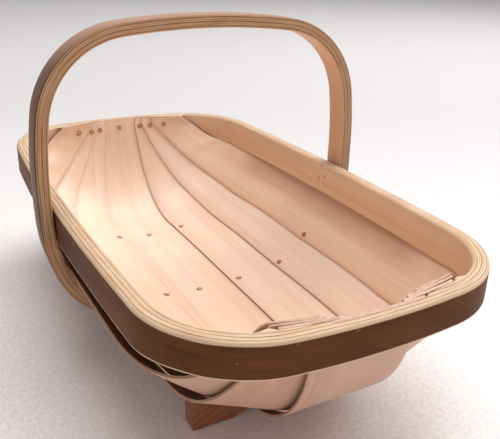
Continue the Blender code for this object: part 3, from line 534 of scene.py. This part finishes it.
def handle_half(sides):
    """The hoop's inner face in the YZ plane, bottom to top on the right, with outward normals."""
    supports = handle_support_points(sides)
    bottom_z = supports[0][0][1]
    points = [np.array([0.0, bottom_z]), np.array([HANDLE_FLAT_HALF / 2, bottom_z])]
    for (start, start_angle), (stop, stop_angle) in zip(supports[:-1], supports[1:]):
        start = np.array(start)
        stop = np.array(stop)
        reach = np.linalg.norm(stop - start) / 3
        first = start + reach * np.array([math.cos(start_angle), math.sin(start_angle)])
        second = stop - reach * np.array([math.cos(stop_angle), math.sin(stop_angle)])
        points.extend(bezier(start, first, second, stop, HANDLE_LOWER_STATIONS + 1)[:-1])
    points = np.array(points)
    crown, crown_normals = bowed_quarter(
        HANDLE_HALF_SPAN, HANDLE_CROWN_HEIGHT, HANDLE_CORNER_RADIUS, HANDLE_TOP_BOW,
        HANDLE_SIDE_BOW, HANDLE_CROWN_STATIONS)
    crown = crown[::-1] + np.array([0.0, HANDLE_MIDDLE_RISE])
    slopes = np.gradient(np.concatenate([points, crown[:1]]), axis=0)[:-1]
    normals = unit(np.stack([slopes[:, 1], -slopes[:, 0]], axis=1))
    normals[0] = (0.0, -1.0)
    return np.concatenate([points, crown]), np.concatenate([normals, crown_normals[::-1]])


# Forms that the scene adds to the boards
BOARD_ARRIS = 0.0003            # eased edge
COVERED_DEPTH = 0.001           # added to the depth of the strips that the next board covers
END_SWELL = 0.0005              # the board ends fill most of the clearance between them
END_SWELL_HEIGHT = 0.008        # over this stretch below the ends
BOARD_SHIFT = 0.37              # from one board to the next across the figure

# Forms that the scene adds to the rim
SKIRT_DEPTH = 0.0042            # how much lower its inner face reaches over the outermost boards
SKIRT_PLACE = 0.236             # middle of that stretch, from mid-length
SKIRT_HALF = 0.030              # and its half length
# How far its top reaches in towards the board ends, at these distances from the long centre line
LIP_WIDTHS = {0.0385: 0.0, 0.0415: 0.0036, 0.0530: 0.0038, 0.0570: 0.0030, 0.0610: 0.0021,
              0.0650: 0.0012, 0.0690: 0.0008, 0.0735: 0.0008, 0.0760: 0.0030, 0.0790: 0.0038,
              0.0860: 0.0}
SHARP_ANGLE = math.radians(50)
ARRIS_STATIONS = 4

# Glue lines between the veneers, from the rim's outer and from the handle's inner face
RIM_GLUE_LINES = (0.0026, 0.0044, 0.0062, 0.0079, 0.0097, 0.0114)
HANDLE_GLUE_LINES = (0.0018, 0.0036, 0.0055, 0.0073, 0.0094)

BOARD_EDGE_LAYERS = (           # share of the thickness from the outside, and colour
    (0.0, srgb(196, 160, 130)),
    (0.18, srgb(172, 128, 96)),
    (0.30, srgb(150, 106, 78)),
    (0.45, srgb(154, 112, 82)),
    (0.62, srgb(154, 112, 82)),
    (0.74, srgb(146, 102, 74)),
    (0.88, srgb(188, 150, 120)),
)

FLOOR_HALF_SIZE = 9.0
WORLD_COLOUR = (1.0, 0.94, 0.90, 1.0)
WORLD_STRENGTH = 0.33
BACKDROP_COLOUR = (0.88, 0.875, 0.89, 1.0)

# Camera of the photo, round the middle of the rim
CAMERA_AZIMUTH = math.radians(61.0955)
CAMERA_ELEVATION = math.radians(22.8469)
CAMERA_ROLL = math.radians(1.6305)
CAMERA_DISTANCE = 2.287 * RIM_HALF_LENGTH
CAMERA_SHIFT = (0.1533 * RIM_HALF_LENGTH, -0.1274 * RIM_HALF_LENGTH)
CAMERA_NEAREST = 0.02
PHOTO_WIDTH = 500               # pixels, as the focal length
FOCAL_LENGTH = 649.3744
SENSOR_WIDTH = 36.0


def solid_from_loops(name, loops, lay, closed):
    """A solid from matching loops of points; lay gives each point its place in the wood."""
    rows, count = len(loops), len(loops[0])
    points = np.array(loops, float).reshape(-1, 3) + np.array([0.0, 0.0, DATUM])
    faces = []
    for row in range(rows if closed else rows - 1):
        after_row = (row + 1) % rows
        for column in range(count):
            after = (column + 1) % count
            faces.append((row * count + column, row * count + after,
                          after_row * count + after, after_row * count + column))
    if not closed:
        faces.append(tuple(range(count)))
        faces.append(tuple(range((rows - 1) * count, rows * count)))
    mesh = bpy.data.meshes.new(name)
    mesh.from_pydata(points.tolist(), [], faces)
    work = bmesh.new()
    work.from_mesh(mesh)
    bmesh.ops.recalc_face_normals(work, faces=work.faces)
    work.to_mesh(mesh)
    work.free()
    attribute = mesh.attributes.new("lay", "FLOAT_VECTOR", "POINT")
    attribute.data.foreach_set("vector", np.array(lay, np.float32).reshape(-1))
    mesh.shade_smooth()
    mesh.set_sharp_from_angle(angle=SHARP_ANGLE)
    piece = bpy.data.objects.new(name, mesh)
    bpy.context.scene.collection.objects.link(piece)
    return piece


def stand_in(piece, node, material):
    """Put a piece in the place of a CAD node."""
    piece.data.materials.append(material)
    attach(piece, "root")
    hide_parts(node)


def board_mesh(name, outer, inner, shift, covered):
    """A board over the whole length from the half grids of its two faces, with eased edges.

    The columns of its inner face that the next board covers are marked by a greater depth."""
    outer = whole_length(outer)
    inner = whole_length(inner)
    half = STATIONS * PROFILE_LENGTH
    along = np.concatenate([-half[::-1], half[1:]])
    from_top = np.concatenate([FROM_TOP[::-1], FROM_TOP[1:]])
    swell = END_SWELL * smoothstep(1.0 - from_top / END_SWELL_HEIGHT)
    outer = outer + unit(outer - inner) * swell[:, None, None]
    ease = BOARD_ARRIS / BOARD_THICKNESS
    near = BOARD_ARRIS
    far = BOARD_THICKNESS - BOARD_ARRIS
    depths = BOARD_THICKNESS + COVERED_DEPTH * covered
    loops = []
    lays = []
    for row, length in enumerate(along):
        across = lengths_along(outer[row])
        spread = across - across[-1] / 2 + shift
        first = unit(outer[row, 1] - outer[row, 0]) * BOARD_ARRIS
        last = unit(outer[row, -1] - outer[row, -2]) * BOARD_ARRIS
        faces = []
        for grid in (outer, inner):
            face = grid[row].copy()
            face[0] += first
            face[-1] -= last
            faces.append(face)
        through_low = inner[row, 0] - outer[row, 0]
        through_high = inner[row, -1] - outer[row, -1]
        loop = list(faces[0])
        loop += [outer[row, -1] + through_high * ease, inner[row, -1] - through_high * ease]
        loop += list(faces[1][::-1])
        loop += [inner[row, 0] - through_low * ease, outer[row, 0] + through_low * ease]
        lay = [(length, place, 0.0) for place in spread]
        lay += [(length, spread[-1], near), (length, spread[-1], far)]
        lay += [(length, place, depth) for place, depth in zip(spread[::-1], depths[::-1])]
        lay += [(length, spread[0], far), (length, spread[0], near)]
        loops.append(loop)
        lays.append(lay)
    return solid_from_loops(name, loops, lays, closed=False)


def build_boards(sides):
    left = np.array([1.0, -1.0, 1.0])
    outer = np.concatenate([sides[-1][0].outer[:, :0:-1] * left, sides[1][0].outer], axis=1)
    inner = np.concatenate([sides[-1][0].inner[:, :0:-1] * left, sides[1][0].inner], axis=1)
    first, second = BOARD_COLUMNS
    covered = np.array([0.0] * (first + 1) + [1.0] * second)
    both = np.concatenate([covered[:0:-1], covered])
    pieces = {"board_centre": board_mesh("birch_centre", outer, inner, 0.0, both)}
    for side, boards in sides.items():
        word = "right" if side > 0 else "left"
        turn = np.array([1.0, side, 1.0])
        for number, board in enumerate(boards[1:], start=1):
            pieces[f"board_{word}_{number}"] = board_mesh(
                f"birch_{word}_{number}", board.outer * turn, board.inner * turn,
                side * number * BOARD_SHIFT, covered * (number < len(boards) - 1))
    return pieces


def end_lip(lateral):
    """How far the rim's top reaches in towards the board ends, this far from the centre line."""
    return float(np.interp(abs(lateral), list(LIP_WIDTHS), list(LIP_WIDTHS.values())))


def corner_skirt(x):
    """How much lower the rim's inner face reaches where the outermost boards pass under it."""
    return SKIRT_DEPTH * float(smoothstep(1.0 - abs(abs(x) - SKIRT_PLACE) / SKIRT_HALF))


def lengths_round(points):
    """Length along a closed outline at each of its points."""
    closed = np.concatenate([points, points[:1]])
    return lengths_along(closed)[:-1]


def build_rim():
    points, normals = mirror_quarter(*rim_quarter(RIM_STATIONS))
    loops = []
    lays = []
    for point, normal, length in zip(points, normals, lengths_round(points)):
        inner_x, inner_y = point - normal * RIM_THICKNESS
        lip = end_lip(inner_y)
        skirt = corner_skirt(inner_x)
        lift = float(rim_lift(point[0]))
        loop = []
        lay = []
        for inward, z in rim_section(point):
            if inward > RIM_OUTER_ARRIS and z > 0.0:
                inward += lip
            if inward > RIM_THICKNESS / 2 and z < -RIM_DROP / 2:
                z -= skirt
            loop.append((*(point - normal * inward), z))
            lay.append((length, inward, z - lift * (z < -RIM_DROP / 2)))
        loops.append(loop)
        lays.append(lay)
    return solid_from_loops("ply_rim", loops, lays, closed=True)


def build_handle(sides):
    points, normals = handle_half(sides)
    left = np.array([-1.0, 1.0])
    points = np.concatenate([points, (points * left)[-2:0:-1]])
    normals = np.concatenate([normals, (normals * left)[-2:0:-1]])
    side = HANDLE_WIDTH / 2 - HANDLE_ARRIS
    top = HANDLE_THICKNESS - HANDLE_ARRIS
    section = []
    for x, outward, start in ((-side, HANDLE_ARRIS, 180), (side, HANDLE_ARRIS, 270),
                              (side, top, 0), (-side, top, 90)):
        section += arc(x, outward, HANDLE_ARRIS, start, start + 90, ARRIS_STATIONS)
    loops = []
    lays = []
    for point, normal, length in zip(points, normals, lengths_round(points)):
        loops.append([(x, *(point + normal * outward)) for x, outward in section])
        lays.append([(length, outward, x) for x, outward in section])
    return solid_from_loops("ply_handle", loops, lays, closed=True)


class Wood:
    """A node tree with short calls for the nodes that the materials use."""

    def __init__(self, name):
        self.material = bpy.data.materials.new(name)
        self.material.use_nodes = True
        self.tree = self.material.node_tree
        self.shader = self.tree.nodes["Principled BSDF"]

    def node(self, kind, inputs=(), **settings):
        made = self.tree.nodes.new("ShaderNode" + kind)
        for key, value in settings.items():
            setattr(made, key, value)
        for key, value in dict(inputs).items():
            self.put(made.inputs[key], value)
        return made

    def put(self, socket, value):
        if isinstance(value, bpy.types.NodeSocket):
            self.tree.links.new(value, socket)
        else:
            socket.default_value = value

    def math(self, operation, a, b=0.0, c=0.0, clamp=False):
        made = self.node("Math", {0: a, 1: b, 2: c}, operation=operation, use_clamp=clamp)
        return made.outputs[0]

    def add(self, a, b):
        return self.math("ADD", a, b)

    def times(self, a, b):
        return self.math("MULTIPLY", a, b)

    def step(self, value, low, high, top=1.0):
        """0 below low, top above high, smooth between."""
        made = self.node("MapRange", {"Value": value, "From Min": low, "From Max": high,
                                      "To Max": top}, interpolation_type="SMOOTHSTEP")
        return made.outputs["Result"]

    def mix(self, factor, a, b, blend="MIX"):
        made = self.node("Mix", {"Factor": factor, "A": a, "B": b},
                         data_type="RGBA", blend_type=blend)
        return made.outputs["Result"]

    def tint(self, factor, colour, by):
        return self.mix(factor, colour, by, "MULTIPLY")

    def noise(self, vector, scale=1.0, detail=3.0, roughness=0.5):
        made = self.node("TexNoise", {"Vector": vector, "Scale": scale, "Detail": detail,
                                      "Roughness": roughness})
        return made.outputs[0]

    def figure(self, along, across, seed, fine_along, fine_across, detail=2.0, roughness=0.5):
        """Noise over a face, with its own fineness along and across it."""
        place = self.vector(self.times(along, fine_along), self.times(across, fine_across), seed)
        return self.noise(place, 1.0, detail, roughness)

    def vector(self, x, y, z):
        return self.node("CombineXYZ", {"X": x, "Y": y, "Z": z}).outputs[0]

    def axes(self, vector):
        split = self.node("SeparateXYZ", {"Vector": vector})
        return split.outputs["X"], split.outputs["Y"], split.outputs["Z"]

    def ramp(self, factor, stops):
        made = self.node("ValToRGB", {"Fac": factor})
        elements = made.color_ramp.elements
        while len(elements) < len(stops):
            elements.new(0.5)
        for element, (place, colour) in zip(elements, stops):
            element.position = place
            element.color = colour
        return made.outputs["Color"]

    def coordinates(self, kind="Object"):
        return self.node("TexCoord").outputs[kind]

    def height(self):
        return self.axes(self.coordinates())[2]

    def lay(self):
        """Place in the wood, from the mesh."""
        place = self.node("Attribute", attribute_name="lay", attribute_type="GEOMETRY")
        return self.axes(place.outputs["Vector"])

    def face_up(self):
        """How far the surface itself faces up or down: 0 upright, 1 level."""
        return self.math("ABSOLUTE", self.axes(self.node("NewGeometry").outputs["True Normal"])[2])

    def bump(self, height, strength, distance):
        made = self.node("Bump", {"Height": height, "Strength": strength, "Distance": distance})
        self.put(self.shader.inputs["Normal"], made.outputs["Normal"])

    def dull_face(self, face, amount):
        """Less reflection on one face, such as a stained one."""
        level = self.math("MULTIPLY_ADD", face, -amount, 0.35)
        self.put(self.shader.inputs["Specular IOR Level"], level)

    def finish(self, colour, roughness, coat=0.0, coat_roughness=0.1, metallic=0.0):
        surface = {"Base Color": colour, "Roughness": roughness, "Coat Weight": coat,
                   "Coat Roughness": coat_roughness, "Metallic": metallic}
        for socket, value in surface.items():
            self.put(self.shader.inputs[socket], value)
        return self.material


def birch_figure(wood, along, across, seed, pale, warm):
    """Straight pale grain of a birch veneer: a colour, and a height for its fine pores."""
    broad = wood.figure(along, across, seed, 1.3, 45.0, 3.0, 0.55)
    streak = wood.figure(along, across, seed, 5.0, 420.0, 3.0, 0.6)
    pores = wood.figure(along, across, seed, 70.0, 2200.0)
    cloud = wood.figure(along, across, seed, 16.0, 24.0)
    colour = wood.mix(wood.step(broad, 0.32, 0.70), pale, warm)
    colour = wood.mix(wood.step(cloud, 0.42, 0.72, 0.35), colour, warm)
    darker = wood.tint(1.0, warm, srgb(226, 196, 176))
    colour = wood.mix(wood.step(streak, 0.50, 0.78, 0.35), colour, darker)
    colour = wood.mix(wood.step(pores, 0.60, 0.78, 0.18), colour, darker)
    return colour, wood.add(wood.times(streak, 0.6), wood.times(pores, 0.4))


def birch_board():
    wood = Wood("birch_board_varnished")
    along, across, depth = wood.lay()
    seed = wood.math("FLOOR", wood.times(across, 3.0))
    colour, relief = birch_figure(wood, along, across, seed,
                                  srgb(246, 224, 206), srgb(238, 206, 181))
    height = wood.height()
    end = DATUM + BOARD_TOP_RISE
    from_middle = wood.math("ABSOLUTE", along)
    # painted shade: the outer faces of the boards, under the basket, are darkened
    outside = wood.step(depth, 0.0002, 0.0001)
    colour = wood.tint(outside, colour, srgb(220, 204, 198))
    # painted shade: the centre and left boards are darkened towards the front
    front_half_shade = wood.times(wood.step(across, 0.20, 0.16), wood.step(along, -0.22, 0.12))
    colour = wood.tint(front_half_shade, colour, srgb(248, 238, 231))
    third = wood.step(wood.math("ABSOLUTE", across), 2.6 * BOARD_SHIFT, 2.7 * BOARD_SHIFT)
    # painted shade: the third boards on both sides are made a little darker
    colour = wood.tint(third, colour, srgb(250, 242, 236))
    # painted shadow: the third boards are darker in the strip just under the rim, away from the
    # ends
    rim_shadow = wood.times(third, wood.step(height, DATUM - 0.062, DATUM - 0.034))
    rim_shadow = wood.times(rim_shadow, wood.step(from_middle, 0.20, 0.14))
    colour = wood.tint(rim_shadow, colour, srgb(220, 206, 194))
    # painted shade: the strips that the next board covers, seen in the crevices between boards, are
    # dark brown
    beyond = wood.add(depth, -BOARD_THICKNESS)
    covered = wood.step(beyond, 0.2 * COVERED_DEPTH, COVERED_DEPTH)
    colour = wood.mix(covered, colour, srgb(98, 62, 43))
    within = wood.math("DIVIDE", depth, BOARD_THICKNESS)
    on_edge = wood.times(wood.step(within, 0.06, 0.12), wood.step(within, 0.94, 0.88))
    wander = wood.figure(along, across, seed, 160.0, 160.0)
    within = wood.add(within, wood.times(wood.add(wander, -0.5), 0.12))
    layers = wood.ramp(within, BOARD_EDGE_LAYERS)
    colour = wood.mix(on_edge, colour, layers)
    sawn = wood.mix(wood.step(wander, 0.35, 0.65), srgb(212, 176, 153), srgb(194, 154, 129))
    sawn = wood.mix(wood.times(on_edge, 0.12), sawn, layers)
    colour = wood.mix(wood.step(height, end - 0.0006, end - 0.0001), colour, sawn)
    wood.bump(relief, 0.08, 0.0002)
    return wood.finish(colour, wood.math("MULTIPLY_ADD", relief, 0.12, 0.40), 0.12, 0.34)


def ply_lines(wood, along, depth, stops, seed):
    """Ply edge across its thickness: cream veneers between brown glue lines, a few gaps painted
    near black as shade.
    """
    drift = wood.figure(along, depth, seed, 9.0, 60.0)
    place = wood.add(depth, wood.times(wood.add(drift, -0.5), 0.0009))
    grain = wood.figure(along, depth, seed, 90.0, 1500.0, 3.0)
    blotch = wood.figure(along, depth, seed, 30.0, 500.0)
    gaps = wood.figure(along, depth, seed + 5.0, 14.0, 900.0, 0.0)
    glue = 0.0
    for number, stop in enumerate(stops):
        width, share = ((0.00034, 1.0), (0.00020, 0.5))[number % 2]
        off = wood.math("ABSOLUTE", wood.add(place, -stop))
        line = wood.step(off, width * 2.1, width * 0.7, share)
        glue = wood.math("MAXIMUM", glue, line)
    strength = wood.math("MULTIPLY_ADD", blotch, 0.7, 0.45, clamp=True)
    colour = wood.mix(wood.step(blotch, 0.35, 0.65), srgb(230, 204, 174), srgb(214, 180, 146))
    colour = wood.mix(wood.step(grain, 0.5, 0.75, 0.35), colour, srgb(190, 148, 112))
    colour = wood.mix(wood.times(glue, strength), colour, srgb(150, 104, 70))
    # painted shade: a few gaps along the glue lines are near black
    colour = wood.mix(wood.times(glue, wood.step(gaps, 0.76, 0.79)), colour, srgb(40, 26, 20))
    return colour, wood.math("MULTIPLY_ADD", glue, -0.6, wood.times(grain, 0.4))


def stain(wood, along, across, seed, dark, light):
    """Brown stain on a face veneer, clouded, with fine streaks along its length."""
    streak = wood.figure(along, across, seed, 7.0, 420.0, 4.0, 0.6)
    cloud = wood.figure(along, across, seed + 2.0, 9.0, 40.0)
    specks = wood.figure(along, across, seed, 160.0, 260.0, 1.0)
    colour = wood.mix(wood.step(cloud, 0.30, 0.72), dark, light)
    colour = wood.mix(wood.step(streak, 0.42, 0.72, 0.35), colour, light)
    colour = wood.mix(wood.step(streak, 0.50, 0.28, 0.30), colour, dark)
    return wood.mix(wood.step(specks, 0.72, 0.80, 0.5), colour, srgb(176, 132, 100)), streak


def rim_ply():
    wood = Wood("rim_ply_stained")
    along, depth, height = wood.lay()
    layers, relief = ply_lines(wood, along, depth, RIM_GLUE_LINES, 3.0)
    brown, streak = stain(wood, along, height, 7.0, srgb(76, 43, 25), srgb(112, 69, 40))
    inside = birch_figure(wood, along, height, 11.0, srgb(230, 200, 172), srgb(214, 178, 148))[0]
    bare = birch_figure(wood, along, height, 5.0, srgb(226, 200, 168), srgb(204, 172, 138))[0]
    outer_face = wood.step(depth, 0.0012, 0.0006)
    thinnest = RIM_THICKNESS - SCOOP_DEPTH
    inner_face = wood.step(depth, thinnest - 0.0004, thinnest - 0.0001)
    upright = wood.step(wood.face_up(), 0.75, 0.45)
    edge = wood.noise(wood.vector(wood.times(along, 30.0), 0.0, 3.0), 1.0, 2.0)
    edge = wood.add(height, wood.times(wood.add(edge, -0.5), 0.0016))
    stained = wood.times(wood.step(edge, -0.0002, -0.0009), wood.step(edge, -0.0283, -0.0276))
    colour = wood.mix(wood.times(inner_face, upright), layers, inside)
    colour = wood.mix(outer_face, colour, wood.mix(stained, bare, brown))
    wood.bump(wood.mix(outer_face, relief, streak), 0.15, 0.0003)
    wood.dull_face(outer_face, 0.30)
    return wood.finish(colour, 0.50)


def handle_ply():
    wood = Wood("handle_ply_stained")
    along, depth, across = wood.lay()
    layers, relief = ply_lines(wood, along, depth, HANDLE_GLUE_LINES, 13.0)
    layers = wood.tint(1.0, layers, srgb(224, 208, 190))
    brown, streak = stain(wood, along, across, 17.0, srgb(76, 45, 27), srgb(120, 76, 46))
    height = wood.height()
    # painted highlight: the top of the handle is lighter
    brown = wood.mix(wood.step(height, 0.26, 0.31, 0.60), brown, srgb(200, 156, 130))
    # painted light: the lower ends of the handle are lightened where they sit in shade
    brown = wood.mix(wood.step(height, 0.14, 0.10, 0.35), brown, srgb(158, 112, 78))
    inside = birch_figure(wood, along, across, 19.0, srgb(224, 186, 156), srgb(208, 166, 132))[0]
    outer_face = wood.step(depth, HANDLE_THICKNESS - 0.0010, HANDLE_THICKNESS - 0.0006)
    inner_face = wood.step(depth, 0.0007, 0.0004)
    colour = wood.mix(outer_face, layers, brown)
    colour = wood.mix(inner_face, colour, inside)
    wood.bump(wood.mix(outer_face, relief, streak), 0.15, 0.0003)
    wood.dull_face(outer_face, 0.22)
    return wood.finish(colour, 0.45)


def foot_wood():
    wood = Wood("foot_block_stained")
    x, y, z = wood.axes(wood.coordinates())
    slant = wood.add(z, wood.times(y, -0.45))
    run = wood.add(y, wood.times(z, 0.45))
    streak = wood.figure(run, slant, wood.times(x, 260.0), 14.0, 330.0, 4.0)
    rings = wood.figure(run, slant, wood.times(x, 60.0), 5.0, 120.0)
    colour = wood.mix(wood.step(streak, 0.35, 0.68), srgb(130, 76, 46), srgb(160, 100, 60))
    colour = wood.mix(wood.step(rings, 0.48, 0.66, 0.5), colour, srgb(116, 64, 42))
    wood.bump(streak, 0.3, 0.0004)
    return wood.finish(colour, 0.48, 0.1, 0.25)


def off_axis(wood):
    """Squared distance from the axis of a tack's box, whichever way the tack points."""
    offs = [wood.add(axis, -0.5) for axis in wood.axes(wood.coordinates("Generated"))]
    squares = [wood.times(off, off) for off in offs]
    longest = wood.math("MAXIMUM", wood.math("MAXIMUM", squares[0], squares[1]), squares[2])
    total = wood.add(wood.add(squares[0], squares[1]), squares[2])
    return wood.math("SUBTRACT", total, longest)


def tack_copper():
    wood = Wood("tack_copper_dulled")
    coordinates = wood.coordinates()
    cloud = wood.noise(coordinates, 420.0, 3.0, 0.6)
    dents = wood.noise(coordinates, 900.0, 2.0, 0.5)
    colour = wood.mix(wood.step(cloud, 0.35, 0.68), srgb(224, 164, 134), srgb(196, 132, 102))
    ring = wood.step(off_axis(wood), 0.075, 0.150, 0.8)
    colour = wood.mix(ring, colour, srgb(132, 76, 54))
    wood.bump(dents, 0.3, 0.0004)
    return wood.finish(colour, wood.math("MULTIPLY_ADD", cloud, 0.3, 0.3), metallic=0.15)


def pin_steel():
    wood = Wood("pin_steel_dulled")
    cloud = wood.noise(wood.coordinates(), 700.0, 3.0, 0.6)
    colour = wood.mix(cloud, srgb(196, 190, 180), srgb(120, 112, 102))
    wood.bump(cloud, 0.2, 0.0003)
    return wood.finish(colour, wood.math("MULTIPLY_ADD", cloud, 0.3, 0.25), metallic=1.0)


def floor_paper():
    wood = Wood("floor_pale")
    coordinates = wood.coordinates()
    x, y = wood.axes(coordinates)[:2]
    fibre = wood.noise(coordinates, 260.0, 3.0, 0.6)
    # painted light: the floor is lighter towards the left, where the basket's shade falls
    painted_light_leftward = wood.step(wood.add(wood.times(x, 0.81), wood.times(y, -0.45)), -1.0, 0.35)
    level = wood.mix(painted_light_leftward, srgb(213, 212, 214), srgb(250, 247, 249))
    colour = wood.tint(wood.step(fibre, 0.65, 0.35), level, srgb(240, 240, 240))
    wood.bump(fibre, 0.1, 0.0005)
    return wood.finish(colour, 0.8)


def add_floor():
    mesh = bpy.data.meshes.new("floor")
    size = FLOOR_HALF_SIZE
    corners = [(-size, -size, 0), (size, -size, 0), (size, size, 0), (-size, size, 0)]
    mesh.from_pydata(corners, [], [(0, 1, 2, 3)])
    floor = bpy.data.objects.new("floor", mesh)
    bpy.context.scene.collection.objects.link(floor)
    mesh.materials.append(floor_paper())


def add_lamp(name, place, target, size, power, colour):
    lamp = bpy.data.lights.new(name, "AREA")
    lamp.shape = "DISK"
    lamp.size = size
    lamp.energy = power
    lamp.color = colour
    holder = bpy.data.objects.new(name, lamp)
    holder.location = place
    holder.rotation_euler = (Vector(target) - Vector(place)).to_track_quat("-Z", "Y").to_euler()
    bpy.context.scene.collection.objects.link(holder)


def add_world():
    """Soft light all round, and a pale backdrop for the camera and for reflections."""
    world = bpy.data.worlds.new("pale_room")
    bpy.context.scene.world = world
    world.use_nodes = True
    nodes = world.node_tree.nodes
    links = world.node_tree.links
    background = nodes["Background"]
    background.inputs["Color"].default_value = WORLD_COLOUR
    background.inputs["Strength"].default_value = WORLD_STRENGTH
    pale = nodes.new("ShaderNodeBackground")
    pale.inputs["Color"].default_value = BACKDROP_COLOUR
    paths = nodes.new("ShaderNodeLightPath")
    seen = paths.outputs["Is Camera Ray"]
    for ray in ("Is Glossy Ray", "Is Transmission Ray"):
        either = nodes.new("ShaderNodeMath")
        either.operation = "MAXIMUM"
        links.new(seen, either.inputs[0])
        links.new(paths.outputs[ray], either.inputs[1])
        seen = either.outputs[0]
    blend = nodes.new("ShaderNodeMixShader")
    for socket, source in zip(blend.inputs, (seen, background.outputs[0], pale.outputs[0])):
        links.new(source, socket)
    links.new(blend.outputs[0], nodes["World Output"].inputs["Surface"])


def add_camera():
    turn, climb, roll = CAMERA_AZIMUTH, CAMERA_ELEVATION, CAMERA_ROLL
    level = math.cos(climb)
    back = Vector((math.sin(turn) * level, -math.cos(turn) * level, math.sin(climb)))
    right = Vector((math.cos(turn), math.sin(turn), 0.0))
    up = back.cross(right)
    rolled_right = right * math.cos(roll) + up * math.sin(roll)
    rolled_up = up * math.cos(roll) - right * math.sin(roll)
    place = back * CAMERA_DISTANCE + rolled_right * CAMERA_SHIFT[0] + rolled_up * CAMERA_SHIFT[1]
    place = place + Vector((0.0, 0.0, DATUM))
    data = bpy.data.cameras.new("photo_view")
    data.sensor_width = SENSOR_WIDTH
    data.lens = SENSOR_WIDTH * FOCAL_LENGTH / PHOTO_WIDTH
    data.clip_start = CAMERA_NEAREST
    camera = bpy.data.objects.new("photo_view", data)
    turned = Matrix((rolled_right, rolled_up, back)).transposed().to_4x4()
    camera.matrix_world = Matrix.Translation(place) @ turned
    bpy.context.scene.collection.objects.link(camera)
    bpy.context.scene.camera = camera


def main():
    sides = {1: side_boards(LOWER_EDGES_RIGHT, CENTRE_EDGE_RIGHT),
             -1: side_boards(LOWER_EDGES_LEFT, CENTRE_EDGE_LEFT)}
    birch = birch_board()
    for node, piece in build_boards(sides).items():
        stand_in(piece, node, birch)
    stand_in(build_rim(), "rim_hoop", rim_ply())
    stand_in(build_handle(sides), "handle_hoop", handle_ply())
    looks = {"foot": foot_wood(), "tack": tack_copper(), "pin": pin_steel()}
    for node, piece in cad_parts.items():
        look = looks.get(node.split("_")[0])
        if look:
            for place in piece.material_slots:
                place.material = look
    add_floor()
    add_world()
    add_lamp("window", place=(-0.5, 2.6, 3.2), target=(-0.05, 0.0, 0.1), size=3.6, power=120.0,
             colour=(1.0, 0.985, 0.96))
    add_lamp("overhead", place=(-0.4, 0.1, 4.6), target=(0.0, 0.0, 0.0), size=3.4, power=110.0,
             colour=(1.0, 0.99, 0.975))
    add_lamp("fill", place=(3.6, -1.2, 1.6), target=(0.0, 0.0, 0.1), size=2.0, power=10.0,
             colour=(1.0, 0.97, 0.94))
    add_camera()
    bpy.context.scene.view_settings.view_transform = "Standard"


main()
